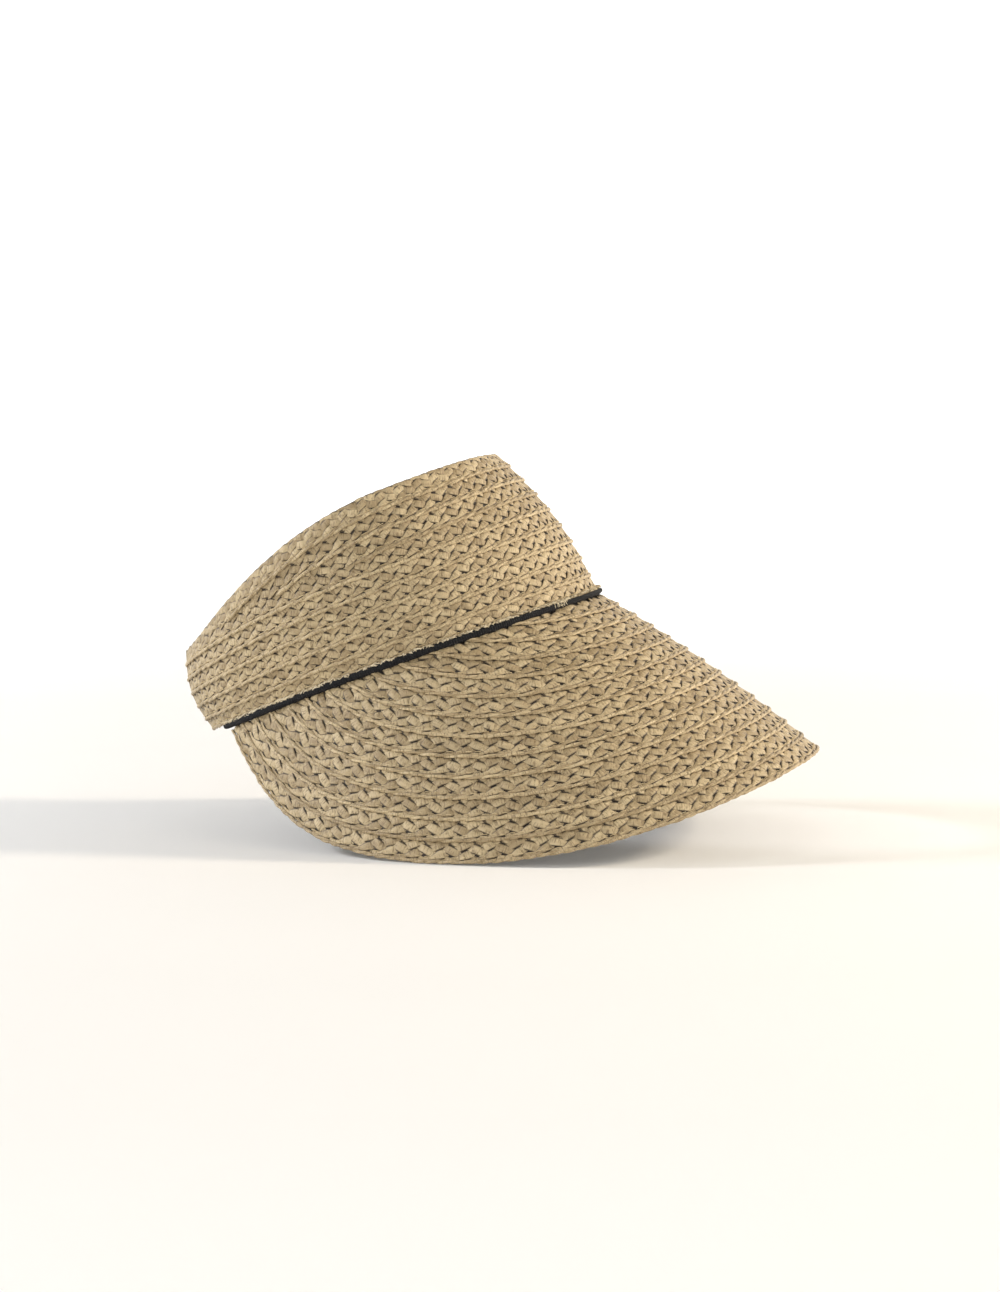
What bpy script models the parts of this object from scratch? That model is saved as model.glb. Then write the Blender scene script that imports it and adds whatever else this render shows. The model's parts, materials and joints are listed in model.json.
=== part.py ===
"""A wide sun visor sewn from flat plaited paper-straw braid.

The visor is laid out in its own hat frame and then stood on a table. In the hat frame the origin is
the middle of the base ring, where crown and brim meet, +Z runs up the crown, -Y is the front and -X
the wearer's right. An angle on the ring is 0 at the front, 90 degrees at the wearer's right and 180
at the centre back. Every braid row, tape and strap is a separate closed solid.
"""
import math

import bmesh
import bpy
import numpy as np

# ---- Base ring, metres ----------------------------------------------------------------------
CROWN_LENGTH = 0.200        # outside, front to back
CROWN_WIDTH = 0.156         # outside, side to side
RING_DISH = 0.0014          # how far the sides of the ring rise above its mean

# ---- Crown ----------------------------------------------------------------------------------
LOWER_HEIGHT_FRONT = 0.0575 # height of the six rows that run all the way round
LOWER_HEIGHT_SIDE = 0.0505
LOWER_HEIGHT_BACK = 0.0415
LOWER_ROWS = 6
UPPER_ROWS = 3              # rows that run out towards the back
UPPER_PITCH = 0.009
UPPER_FULL_ANGLE = 70.0     # the upper rows have their full height up to here, degrees
UPPER_END_ANGLE = 157.0     # and none from here on
LEAN_FRONT = 16.8           # how far the wall leans in, degrees
LEAN_SIDE = 2.0
LEAN_BACK = 0.0
BOW_FRONT = 0.0052          # how far the wall bows outwards at mid height
BOW_SIDE = 0.0020
BOW_BACK = 0.0044

# ---- Brim -----------------------------------------------------------------------------------
BRIM_WIDTH = 0.1300         # at the front, along the brim
BRIM_END_ANGLE = 144.0      # where the brim's outer edge meets the ring, degrees
BRIM_WIDTH_POWER = 2.6      # how long the brim keeps its width towards the sides
BRIM_CORNER_POWER = 0.87    # how blunt its ends are
BRIM_SLOPE_FRONT = 55.2     # below the ring's plane at mid width, degrees
BRIM_SLOPE_SIDE = 66.0
BRIM_SLOPE_BACK = 88.0
BRIM_CURL_FRONT = 9.0       # how much steeper the outer edge is than the inner, degrees
BRIM_CURL_SIDE = 10.0
BRIM_PITCH = 0.0099         # from one braid row to the next
LEAST_LAST_ROW = 0.35       # a last row narrower than this share of the pitch is left out

# ---- Braid and sewing -----------------------------------------------------------------------
BRAID_THICKNESS = 0.0013
BRAID_LAP = 0.002           # how far a row reaches under its neighbour
GAP = 0.0003                # between neighbouring pieces
SEAM_ROOM = 0.0015          # from the ring to the first braid edge, above and below

# ---- Tapes, sweatband and closure -----------------------------------------------------------
BACK_OPENING = 0.022        # between the crown's two ends, at the tightest setting
BINDING_THICKNESS = 0.0026
BINDING_END_ANGLE = 146.0
END_BINDING_WIDTH = 0.0024
END_BINDING_PROUD = 0.0005
SWEATBAND_HEIGHT = 0.032
SWEATBAND_THICKNESS = 0.0012
SWEATBAND_ROOM = 0.0025     # from each end of it to the strap's root
STRAP_WIDTH = 0.025
STRAP_THICKNESS = 0.0014
STRAP_ROOT_LENGTH = 0.022   # sewn inside the wearer's right end of the crown
STRAP_TAB_LENGTH = 0.060    # from the hinge line to the free end
HINGE_SHARE = 0.3           # where it folds, as a share of the half opening before the centre
TAPE_WIDTH = 0.021
TAPE_LENGTH = 0.040
TAPE_THICKNESS = 0.0009
TAPE_END_ROOM = 0.002       # from the hook tape to the tab's free end
LABEL_WIDTH = 0.022
LABEL_HEIGHT = 0.016
LABEL_THICKNESS = 0.0005
LABEL_ANGLE = 218.0

# ---- Rest on a table ------------------------------------------------------------------------
REST_PITCH = 20.4           # nose up, where it balances on the sides of the brim, degrees

# ---- Fineness of the facets -----------------------------------------------------------------
RING_STATIONS = 48
BRIM_STATIONS = 64
MARCH_STEPS = 4             # steps from one brim row to the next
BINDING_STATIONS = 40
SWEATBAND_STATIONS = 44
BAND_FACETS = 3             # over the height of the sweatband
STRAP_FACETS = 4            # over the width of the strap and its tapes
LABEL_FACETS = 2
NUDGE = 1e-5                # the step that a surface's directions are measured over

# ---- Worked out from the above --------------------------------------------------------------
HALF_LENGTH = CROWN_LENGTH / 2
HALF_WIDTH = CROWN_WIDTH / 2
LOWER_PITCH_LEAST = min(LOWER_HEIGHT_FRONT, LOWER_HEIGHT_SIDE, LOWER_HEIGHT_BACK) / LOWER_ROWS
LEAST_PITCH = min(LOWER_PITCH_LEAST, UPPER_PITCH, BRIM_PITCH)
LAP_DEPTH = (BRAID_THICKNESS + GAP) * (LEAST_PITCH + BRAID_LAP) / LEAST_PITCH
WALL = LAP_DEPTH + BRAID_THICKNESS
UPPER_HEIGHT = UPPER_ROWS * UPPER_PITCH
END_ANGLE = 180.0 - math.degrees(math.asin(BACK_OPENING / 2 / HALF_WIDTH))
SWEATBAND_END_ANGLE = END_ANGLE - math.degrees((STRAP_ROOT_LENGTH + SWEATBAND_ROOM) / HALF_WIDTH)
BRIM_ROWS = math.ceil((BRIM_WIDTH - SEAM_ROOM) / BRIM_PITCH - LEAST_LAST_ROW)

STRAW = ("straw_braid", (0.53, 0.40, 0.24), 0.72)
BLACK_TAPE = ("black_grosgrain", (0.012, 0.013, 0.018), 0.85)
NATURAL_TAPE = ("natural_grosgrain", (0.42, 0.32, 0.19), 0.85)
BLACK_WEBBING = ("black_webbing", (0.014, 0.014, 0.017), 0.8)
SWEAT_CLOTH = ("sweatband_twill", (0.018, 0.018, 0.022), 0.9)
HOOK_NYLON = ("hook_nylon", (0.02, 0.02, 0.022), 0.55)
LOOP_NYLON = ("loop_nylon", (0.03, 0.03, 0.033), 0.95)
LABEL_SATIN = ("label_satin", (0.72, 0.70, 0.64), 0.45)


def unit(vectors):
    """Scale vectors to length one."""
    return vectors / np.linalg.norm(vectors, axis=-1, keepdims=True)


def around(front, side, back, angle):
    """Blend three values, given at the front, the sides and the back, round the ring."""
    end = np.where(np.cos(angle) > 0, front, back)
    return side + (end - side) * np.cos(angle) ** 2


def smooth(x):
    """Rise from 0 to 1 with level ends."""
    x = np.clip(x, 0, 1)
    return x * x * (3 - 2 * x)


def ring(angle):
    """Points of the base ring and its outward directions."""
    sine, cosine = np.sin(angle), np.cos(angle)
    rise = -RING_DISH * np.cos(2 * angle)
    points = np.stack([-HALF_WIDTH * sine, -HALF_LENGTH * cosine, rise], -1)
    outward = unit(np.stack([-HALF_LENGTH * sine, -HALF_WIDTH * cosine, 0 * rise], -1))
    return points, outward


def lower_height(angle):
    """Height of the rows that run all the way round."""
    return around(LOWER_HEIGHT_FRONT, LOWER_HEIGHT_SIDE, LOWER_HEIGHT_BACK, angle)


def crown_height(angle):
    """Full height of the crown, along its wall."""
    from_front = np.abs(np.degrees(np.mod(angle + math.pi, 2 * math.pi) - math.pi))
    share = smooth((UPPER_END_ANGLE - from_front) / (UPPER_END_ANGLE - UPPER_FULL_ANGLE))
    return lower_height(angle) + UPPER_HEIGHT * share


def crown_point(angle, height, depth):
    """Points of the crown wall, a height up it and a depth in from its outer face."""
    points, outward = ring(angle)
    lean = np.radians(around(LEAN_FRONT, LEAN_SIDE, LEAN_BACK, angle))
    bow = around(BOW_FRONT, BOW_SIDE, BOW_BACK, angle)
    bow = bow * np.sin(math.pi * np.clip(height / crown_height(angle), 0, 1))
    inward = height * np.sin(lean) - bow + depth * np.cos(lean)
    rise = height * np.cos(lean) - depth * np.sin(lean)
    up = np.array([0.0, 0.0, 1.0])
    return points - outward * inward[..., None] + up * rise[..., None]


def brim_width(angle):
    """Width of the brim from the ring to its outer edge."""
    share = np.clip(np.abs(np.degrees(angle)) / BRIM_END_ANGLE, 0, 1)
    return BRIM_WIDTH * (1 - share ** BRIM_WIDTH_POWER) ** BRIM_CORNER_POWER


def brim_surface(angle, out):
    """Points of the brim's upper face, a distance out from the ring. It curls down evenly."""
    points, outward = ring(angle)
    slope = np.radians(around(BRIM_SLOPE_FRONT, BRIM_SLOPE_SIDE, BRIM_SLOPE_BACK, angle))
    curl = np.radians(BRIM_CURL_FRONT + (BRIM_CURL_SIDE - BRIM_CURL_FRONT) * np.sin(angle) ** 2)
    rate = curl / BRIM_WIDTH
    start = slope - rate * brim_width(angle) / 2
    across = (np.sin(start + rate * out) - np.sin(start)) / rate
    down = (np.cos(start) - np.cos(start + rate * out)) / rate
    up = np.array([0.0, 0.0, 1.0])
    return points + outward * across[..., None] - up * down[..., None]


def brim_directions(angle, out):
    """How the brim's upper face runs round the ring and out from it, and its normal."""
    round_ring = (brim_surface(angle + NUDGE, out) - brim_surface(angle - NUDGE, out)) / (2 * NUDGE)
    outwards = (brim_surface(angle, out + NUDGE) - brim_surface(angle, out - NUDGE)) / (2 * NUDGE)
    return round_ring, outwards, unit(np.cross(round_ring, outwards))


def brim_edge_angles():
    """Angles that space the stations evenly along the brim's outer edge."""
    fine = np.radians(np.linspace(-BRIM_END_ANGLE, BRIM_END_ANGLE, 4001))
    steps = np.linalg.norm(np.diff(brim_surface(fine, brim_width(fine)), axis=0), axis=1)
    run = np.concatenate([[0.0], np.cumsum(steps)])
    return np.interp(np.linspace(0, run[-1], BRIM_STATIONS), run, fine)


def brim_offsets(distances):
    """Curves on the brim that keep the given distances from its outer edge, as angle and out.

    The edge is moved inwards in small steps, each square to the curve that the last one made. A
    station that has passed a row's pitch inside the ring stays there.
    """
    angle = brim_edge_angles()
    out = brim_width(angle)
    travelled = 0.0
    curves = []
    for distance in distances:
        steps = max(1, round((distance - travelled) / (BRIM_PITCH / MARCH_STEPS)))
        for _ in range(steps):
            step = (distance - travelled) / steps
            tangent = unit(np.gradient(brim_surface(angle, out), axis=0))
            round_ring, outwards, normal = brim_directions(angle, out)
            move = np.cross(tangent, normal) * np.where(out > -BRIM_PITCH, step, 0.0)[:, None]
            aa = np.sum(round_ring * round_ring, -1)
            ab = np.sum(round_ring * outwards, -1)
            bb = np.sum(outwards * outwards, -1)
            ma = np.sum(round_ring * move, -1)
            mb = np.sum(outwards * move, -1)
            angle = angle + (ma * bb - mb * ab) / (aa * bb - ab * ab)
            out = out + (mb * aa - ma * ab) / (aa * bb - ab * ab)
        travelled = distance
        curves.append((angle, out))
    return curves


def brim_point(curve, depth):
    """Points a depth below the brim's upper face, along a curve on it."""
    angle, out = curve
    return brim_surface(angle, out) - brim_directions(angle, out)[2] * depth


def material(finish):
    """The Principled material of a finish, made once."""
    name, colour, roughness = finish
    found = bpy.data.materials.get(name)
    if found:
        return found
    made = bpy.data.materials.new(name)
    made.use_nodes = True
    shader = made.node_tree.nodes["Principled BSDF"]
    shader.inputs["Base Color"].default_value = (*colour, 1.0)
    shader.inputs["Roughness"].default_value = roughness
    shader.inputs["Metallic"].default_value = 0.0
    return made


def trim(mesh, room):
    """Cut away the part of a closed strip where room is negative, and close the cut.

    Args:
        mesh: the bmesh of the strip.
        room: one number for each vertex, in order.
    """
    mesh.verts.ensure_lookup_table()
    left = {vertex: value for vertex, value in zip(mesh.verts, room)}
    cut = []
    for edge in list(mesh.edges):
        a, b = edge.verts
        if left[a] * left[b] < 0:
            share = left[a] / (left[a] - left[b])
            vertex = bmesh.utils.edge_split(edge, a, share)[1]
            cut.append(vertex)
    if not cut:
        return
    for vertex in cut:
        left[vertex] = 0.0
    bmesh.ops.connect_verts(mesh, verts=cut)
    outside = [vertex for vertex in mesh.verts if left[vertex] < 0]
    bmesh.ops.delete(mesh, geom=outside, context="VERTS")
    open_edges = [edge for edge in mesh.edges if len(edge.link_faces) == 1]
    bmesh.ops.edgeloop_fill(mesh, edges=open_edges)


def strip(name, finish, frame, sections, room=None, origin=(0.0, 0.0, 0.0)):
    """A closed strip through sections of corner points, with flat ends.

    Args:
        name: the object's name.
        finish: the material's name, colour and roughness.
        frame: the empty that holds the visor.
        sections: corner points, an array of stations by corners by 3.
        room: how far each corner is from a cut, or None where nothing is cut.
        origin: the object's origin in the hat frame.
    """
    mesh = bmesh.new()
    points = sections - np.array(origin)
    rings = [[mesh.verts.new(corner) for corner in section] for section in points]
    for one, two in zip(rings, rings[1:]):
        for i in range(len(one)):
            j = (i + 1) % len(one)
            mesh.faces.new([one[i], one[j], two[j], two[i]])
    mesh.faces.new(rings[0])
    mesh.faces.new(rings[-1][::-1])
    if room is not None:
        trim(mesh, room.reshape(-1))
    bmesh.ops.triangulate(mesh, faces=mesh.faces[:], quad_method="FIXED")
    bmesh.ops.recalc_face_normals(mesh, faces=mesh.faces[:])
    data = bpy.data.meshes.new(name)
    mesh.to_mesh(data)
    mesh.free()
    data.materials.append(material(finish))
    made = bpy.data.objects.new(name, data)
    made.location = origin
    made.parent = frame
    bpy.context.scene.collection.objects.link(made)
    return made


def crown_strip(name, finish, frame, angles, heights, depths, room=None, origin=(0.0, 0.0, 0.0),
                facets=1):
    """A strip that lies on the crown wall.

    Args:
        name, finish, frame, origin: as in strip.
        angles: the stations, in radians.
        heights: lower and upper edge, each one number or one for each station.
        depths: outer and inner face at the lower edge, then outer and inner at the upper one.
        room: as in strip, given at the lower and at the upper edge.
        facets: how many flat facets its height has.
    """
    low, high = (np.broadcast_to(edge, angles.shape) for edge in heights)
    shares = np.linspace(0, 1, facets + 1)
    outer = [crown_point(angles, low + (high - low) * share,
                         np.broadcast_to(depths[0] + (depths[2] - depths[0]) * share, angles.shape))
             for share in shares]
    inner = [crown_point(angles, low + (high - low) * share,
                         np.broadcast_to(depths[1] + (depths[3] - depths[1]) * share, angles.shape))
             for share in shares]
    if room is not None:
        across = [room[0] + (room[1] - room[0]) * share for share in shares]
        room = np.stack(across + across[::-1], 1)
    return strip(name, finish, frame, np.stack(outer + inner[::-1], 1), room, origin)


def braid_depths():
    """Depths of a braid row: its lower edge lies on top and its upper edge under the next row."""
    return (0.0, BRAID_THICKNESS, LAP_DEPTH, LAP_DEPTH + BRAID_THICKNESS)


def build_crown(frame):
    """Six rows all the way round and three above them that run out towards the back."""
    angles = np.radians(np.linspace(-END_ANGLE, END_ANGLE, RING_STATIONS))
    lower = lower_height(angles)
    for row in range(LOWER_ROWS):
        start = SEAM_ROOM if row == 0 else lower * row / LOWER_ROWS
        last = row == LOWER_ROWS - 1
        stop = lower * (row + 1) / LOWER_ROWS + (0 if last else BRAID_LAP)
        crown_strip(f"crown_braid_{row + 1:02d}", STRAW, frame, angles, (start, stop), braid_depths())
    top = crown_height(angles)
    for row in range(UPPER_ROWS):
        start = top - (UPPER_ROWS - row) * UPPER_PITCH
        last = row == UPPER_ROWS - 1
        stop = start + UPPER_PITCH + (0 if last else BRAID_LAP)
        floor = lower + 2 * GAP
        name = f"crown_braid_{LOWER_ROWS + row + 1:02d}"
        crown_strip(name, STRAW, frame, angles, (start, stop), braid_depths(), (start - floor, stop - floor))


def build_brim(frame):
    """Rows that keep their distance from the outer edge and end at the ring. Row 1 is outermost."""
    starts = [row * BRIM_PITCH for row in range(BRIM_ROWS)]
    stops = [start + BRIM_PITCH + BRAID_LAP for start in starts]
    order = sorted(starts + stops)
    curves = dict(zip(order, brim_offsets(order)))
    for row, (start, stop) in enumerate(zip(starts, stops)):
        outer, inner = curves[start], curves[stop]
        corners = [brim_point(outer, 0.0), brim_point(outer, BRAID_THICKNESS),
                   brim_point(inner, WALL), brim_point(inner, LAP_DEPTH)]
        room = [outer[1], outer[1], inner[1], inner[1]]
        room = np.stack(room, 1) - SEAM_ROOM - GAP
        strip(f"brim_braid_{row + 1:02d}", STRAW, frame, np.stack(corners, 1), room)


def build_bindings(frame):
    """The black tape in the seam and the natural tapes over the crown's two cut ends."""
    angles = np.radians(np.linspace(-BINDING_END_ANGLE, BINDING_END_ANGLE, BINDING_STATIONS))
    proud = -GAP
    depths = (proud, BINDING_THICKNESS, proud, BINDING_THICKNESS)
    half = SEAM_ROOM - GAP
    crown_strip("seam_binding", BLACK_TAPE, frame, angles, (-half, half), depths)
    heights = np.linspace(SEAM_ROOM, LOWER_HEIGHT_BACK + END_BINDING_PROUD, 7)
    for side, name in ((1, "end_binding_right"), (-1, "end_binding_left")):
        near = math.radians(END_ANGLE) + GAP / HALF_WIDTH
        far = near + END_BINDING_WIDTH / HALF_WIDTH
        corners = []
        for angle, depth in ((near, -END_BINDING_PROUD), (near, WALL + END_BINDING_PROUD),
                             (far, WALL + END_BINDING_PROUD), (far, -END_BINDING_PROUD)):
            corners.append(crown_point(np.full_like(heights, side * angle), heights,
                                       np.full_like(heights, depth)))
        strip(name, NATURAL_TAPE, frame, np.stack(corners, 1))


def build_sweatband(frame):
    """The cloth band inside the crown, and the blank label sewn to it."""
    angles = np.radians(np.linspace(-SWEATBAND_END_ANGLE, SWEATBAND_END_ANGLE, SWEATBAND_STATIONS))
    outer = WALL + GAP
    inner = outer + SWEATBAND_THICKNESS
    heights = (SEAM_ROOM, SEAM_ROOM + SWEATBAND_HEIGHT)
    crown_strip("sweatband", SWEAT_CLOTH, frame, angles, heights, (outer, inner, outer, inner),
                facets=BAND_FACETS)
    half = LABEL_WIDTH / 2 / HALF_LENGTH
    centre = math.radians(LABEL_ANGLE)
    angles = np.linspace(centre - half, centre + half, 4)
    middle = SEAM_ROOM + SWEATBAND_HEIGHT / 2
    heights = (middle - LABEL_HEIGHT / 2, middle + LABEL_HEIGHT / 2)
    outer = inner + GAP * 2
    inner = outer + LABEL_THICKNESS
    crown_strip("care_label", LABEL_SATIN, frame, angles, heights, (outer, inner, outer, inner),
                facets=LABEL_FACETS)


def strap_depth(angle):
    """Depth of the strap's outer face: inside the right end, then out over the left one."""
    inside = WALL + END_BINDING_PROUD + 2 * GAP
    outside = -(2 * TAPE_THICKNESS + 4 * GAP + STRAP_THICKNESS)
    half = math.radians(180.0 - END_ANGLE) - (END_BINDING_WIDTH + 2 * GAP) / HALF_WIDTH
    return inside + (outside - inside) * smooth((angle - math.pi + half) / (2 * half))


def build_closure(frame):
    """The strap across the opening: a root sewn inside the right end and a tab that peels off."""
    middle = LOWER_HEIGHT_BACK / 2
    edges = (middle - STRAP_WIDTH / 2, middle + STRAP_WIDTH / 2)
    hinge = math.pi - math.radians(180.0 - END_ANGLE) * HINGE_SHARE
    root_start = math.radians(END_ANGLE) - STRAP_ROOT_LENGTH / HALF_WIDTH
    half_gap = GAP / 2 / HALF_WIDTH
    angles = np.linspace(root_start, hinge - half_gap, 7)
    outer = strap_depth(angles)
    inner = outer + STRAP_THICKNESS
    crown_strip("strap_root", BLACK_WEBBING, frame, angles, edges, (outer, inner, outer, inner),
                facets=STRAP_FACETS)

    origin = crown_point(np.array([hinge]), np.array([middle]), strap_depth(np.array([hinge])))[0]
    angles = np.linspace(hinge + half_gap, hinge + STRAP_TAB_LENGTH / HALF_WIDTH, 12)
    outer = strap_depth(angles)
    inner = outer + STRAP_THICKNESS
    crown_strip("strap_tab", BLACK_WEBBING, frame, angles, edges, (outer, inner, outer, inner),
                origin=tuple(origin), facets=STRAP_FACETS)

    edges = (middle - TAPE_WIDTH / 2, middle + TAPE_WIDTH / 2)
    tab_end = hinge + (STRAP_TAB_LENGTH - TAPE_END_ROOM) / HALF_WIDTH
    angles = np.linspace(tab_end - TAPE_LENGTH / HALF_WIDTH, tab_end, 9)
    outer = strap_depth(angles) + STRAP_THICKNESS + GAP
    inner = outer + TAPE_THICKNESS
    crown_strip("hook_tape", HOOK_NYLON, frame, angles, edges, (outer, inner, outer, inner),
                origin=tuple(origin), facets=STRAP_FACETS)
    outer = outer + TAPE_THICKNESS + GAP
    inner = outer + TAPE_THICKNESS
    crown_strip("loop_tape", LOOP_NYLON, frame, angles, edges, (outer, inner, outer, inner),
                facets=STRAP_FACETS)


def stand_on_table(frame):
    """Tip the visor to its rest and set the lowest point's plane and the box's middle at zero."""
    frame.rotation_euler = (-math.radians(REST_PITCH), 0.0, 0.0)
    bpy.context.view_layer.update()
    points = np.array([piece.matrix_world @ vertex.co for piece in bpy.data.objects
                       if piece.type == "MESH" for vertex in piece.data.vertices])
    low, high = points.min(axis=0), points.max(axis=0)
    frame.location = (-(low[0] + high[0]) / 2, -(low[1] + high[1]) / 2, -low[2])
    bpy.context.view_layer.update()


def main():
    """Clear the scene, sew the visor in its hat frame and stand it on the table."""
    for old in list(bpy.data.objects):
        bpy.data.objects.remove(old, do_unlink=True)
    frame = bpy.data.objects.new("visor_frame", None)
    bpy.context.scene.collection.objects.link(frame)
    build_brim(frame)
    build_crown(frame)
    build_bindings(frame)
    build_sweatband(frame)
    build_closure(frame)
    stand_on_table(frame)


main()
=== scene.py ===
"""Looks of a wide sun visor sewn from flat plaited paper-straw braid.

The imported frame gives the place, the tilt and the closure's hinge. In the hat frame used below the
origin is the middle of the ring where crown and brim meet, +Z runs up the crown, -Y is the front and
-X the wearer's right. An angle is 0 at the front and 180 degrees at the centre back. Each braid row
is plaited here strand by strand over the bed that its CAD row holds.
"""

import json
import logging
import math
from collections.abc import Callable
from dataclasses import dataclass, field
from enum import Enum

import bpy
import numpy as np
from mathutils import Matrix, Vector


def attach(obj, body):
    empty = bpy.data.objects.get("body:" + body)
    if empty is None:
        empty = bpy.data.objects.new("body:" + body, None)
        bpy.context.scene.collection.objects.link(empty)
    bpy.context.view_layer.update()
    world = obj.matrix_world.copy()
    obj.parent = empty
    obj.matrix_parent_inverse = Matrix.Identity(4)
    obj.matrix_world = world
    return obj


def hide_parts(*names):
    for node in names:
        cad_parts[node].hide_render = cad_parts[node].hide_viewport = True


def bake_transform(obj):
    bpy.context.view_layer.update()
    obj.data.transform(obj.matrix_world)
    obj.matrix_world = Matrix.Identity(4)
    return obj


LOG = logging.getLogger("sun_visor")
MM = 0.001
PI = math.pi
Points = np.ndarray
Tree = bpy.types.NodeTree
Socket = bpy.types.NodeSocket


class Body(str, Enum):
    """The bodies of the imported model."""

    VISOR = "visor"
    TAB = "closure_tab"


class Face(Enum):
    """The side of the crown wall that something lies on."""

    OUTER = -1
    INNER = 1


def linear(hex_colour: str) -> tuple[float, float, float, float]:
    """Turn an sRGB hex colour into linear light.

    Args:
        hex_colour: such as "#C9B08A".

    Returns:
        Red, green, blue and an alpha of one.
    """
    parts = [int(hex_colour[i:i + 2], 16) / 255 for i in (1, 3, 5)]
    lit = [p / 12.92 if p <= 0.04045 else ((p + 0.055) / 1.055) ** 2.4 for p in parts]
    return (lit[0], lit[1], lit[2], 1.0)


def unit(vectors: Points) -> Points:
    """Return vectors scaled to length one."""
    return vectors / np.linalg.norm(vectors, axis=-1, keepdims=True)


def smooth(x: Points) -> Points:
    """Return a rise from 0 to 1 with level ends."""
    x = np.clip(x, 0, 1)
    return x * x * (3 - 2 * x)


def around(front: float, side: float, back: float, angle: Points) -> Points:
    """Return three values, given at the front, sides and back, blended round the ring."""
    end = np.where(np.cos(angle) > 0, front, back)
    return side + (end - side) * np.cos(angle) ** 2


def signed_power(x: Points, power: float) -> Points:
    """Return values raised to a power, with their signs kept."""
    return np.sign(x) * np.abs(x) ** power


def waver(run: Points, rng: np.random.Generator, waves: tuple[float, ...]) -> Points:
    """Make a soft seeded unevenness along a run.

    Args:
        run: distances along the piece, in metres.
        rng: the piece's random numbers.
        waves: wavelengths in metres.

    Returns:
        Values within about -1 and 1.
    """
    total = np.zeros_like(run)
    for wave in waves:
        stretch = wave * rng.uniform(0.8, 1.25)
        total = total + np.sin(2 * PI * (run / stretch + rng.random()))
    return total / math.sqrt(len(waves))


# ---- Finishes -------------------------------------------------------------------------------


def add_node(tree: Tree, kind: str, inputs: dict | None = None,
             **settings: object) -> bpy.types.Node:
    """Add one node with its settings and links.

    Args:
        tree: the material's node tree.
        kind: the node's type.
        inputs: a socket to link from, or a value to set, for each input by name or number.
        settings: the node's own properties.

    Returns:
        The node.
    """
    node = tree.nodes.new(kind)
    for name, value in settings.items():
        setattr(node, name, value)
    for key, value in (inputs or {}).items():
        if isinstance(value, Socket):
            tree.links.new(value, node.inputs[key])
        else:
            node.inputs[key].default_value = value
    return node


@dataclass(frozen=True)
class Finish:
    """A material laid out by the pieces' own "lay" values.

    "lay" holds millimetres along and across the strand, thread or cloth, and a number that tells
    one strand from the next.
    """

    name: str
    slot: str
    roughness: float = 0.8
    sheen: float = 0.0
    bump: float = 0.5
    relief_mm: float = 0.15

    def material(self) -> bpy.types.Material:
        """Return the finish's material, made the first time it is asked for."""
        found = bpy.data.materials.get(self.name)
        if found:
            return found
        made = bpy.data.materials.new(self.name)
        made.use_nodes = True
        tree = made.node_tree
        shader = tree.nodes["Principled BSDF"]
        shader.inputs["Roughness"].default_value = self.roughness
        shader.inputs["Sheen Weight"].default_value = self.sheen
        shader.inputs["Sheen Roughness"].default_value = 0.5
        lay = add_node(tree, "ShaderNodeAttribute", attribute_name="lay").outputs["Vector"]
        colour, relief = self.weave(tree, lay)
        tree.links.new(colour, shader.inputs["Base Color"])
        bump = add_node(tree, "ShaderNodeBump", {"Height": relief, "Strength": self.bump,
                                                 "Distance": self.relief_mm * MM})
        tree.links.new(bump.outputs["Normal"], shader.inputs["Normal"])
        return made

    def weave(self, tree: Tree, lay: Socket) -> tuple[Socket, Socket]:
        """Return the sockets of the surface's colour and of its relief."""
        raise NotImplementedError

    @staticmethod
    def noise(tree: Tree, lay: Socket, along_mm: float, across_mm: float, detail: float = 2.0
              ) -> Socket:
        """Add a noise with its own size along and across, different on each strand.

        Args:
            tree: the material's node tree.
            lay: the socket of the "lay" values.
            along_mm: size of the pattern along the strand.
            across_mm: size of the pattern across it.
            detail: how many finer layers it has.

        Returns:
            The socket of the noise, from 0 to 1.
        """
        scale = (1 / along_mm, 1 / across_mm, 13.7)
        place = add_node(tree, "ShaderNodeVectorMath", {0: lay, 1: scale}, operation="MULTIPLY")
        made = add_node(tree, "ShaderNodeTexNoise", {"Vector": place.outputs[0], "Scale": 1.0,
                                                     "Detail": detail, "Roughness": 0.55})
        return made.outputs["Fac"]

    @staticmethod
    def mix(tree: Tree, share: Socket, low: object, high: object) -> Socket:
        """Return the socket of two colours, each a socket or a value, mixed by a share."""
        node = add_node(tree, "ShaderNodeMix", {0: share, 6: low, 7: high}, data_type="RGBA")
        return node.outputs[2]

    @staticmethod
    def span(tree: Tree, value: Socket, low: float, high: float, to_low: float = 0.0,
             to_high: float = 1.0) -> Socket:
        """Return the socket of a value moved from one range to another and held inside it."""
        node = add_node(tree, "ShaderNodeMapRange", {0: value, 1: low, 2: high, 3: to_low,
                                                     4: to_high})
        return node.outputs[0]


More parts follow.
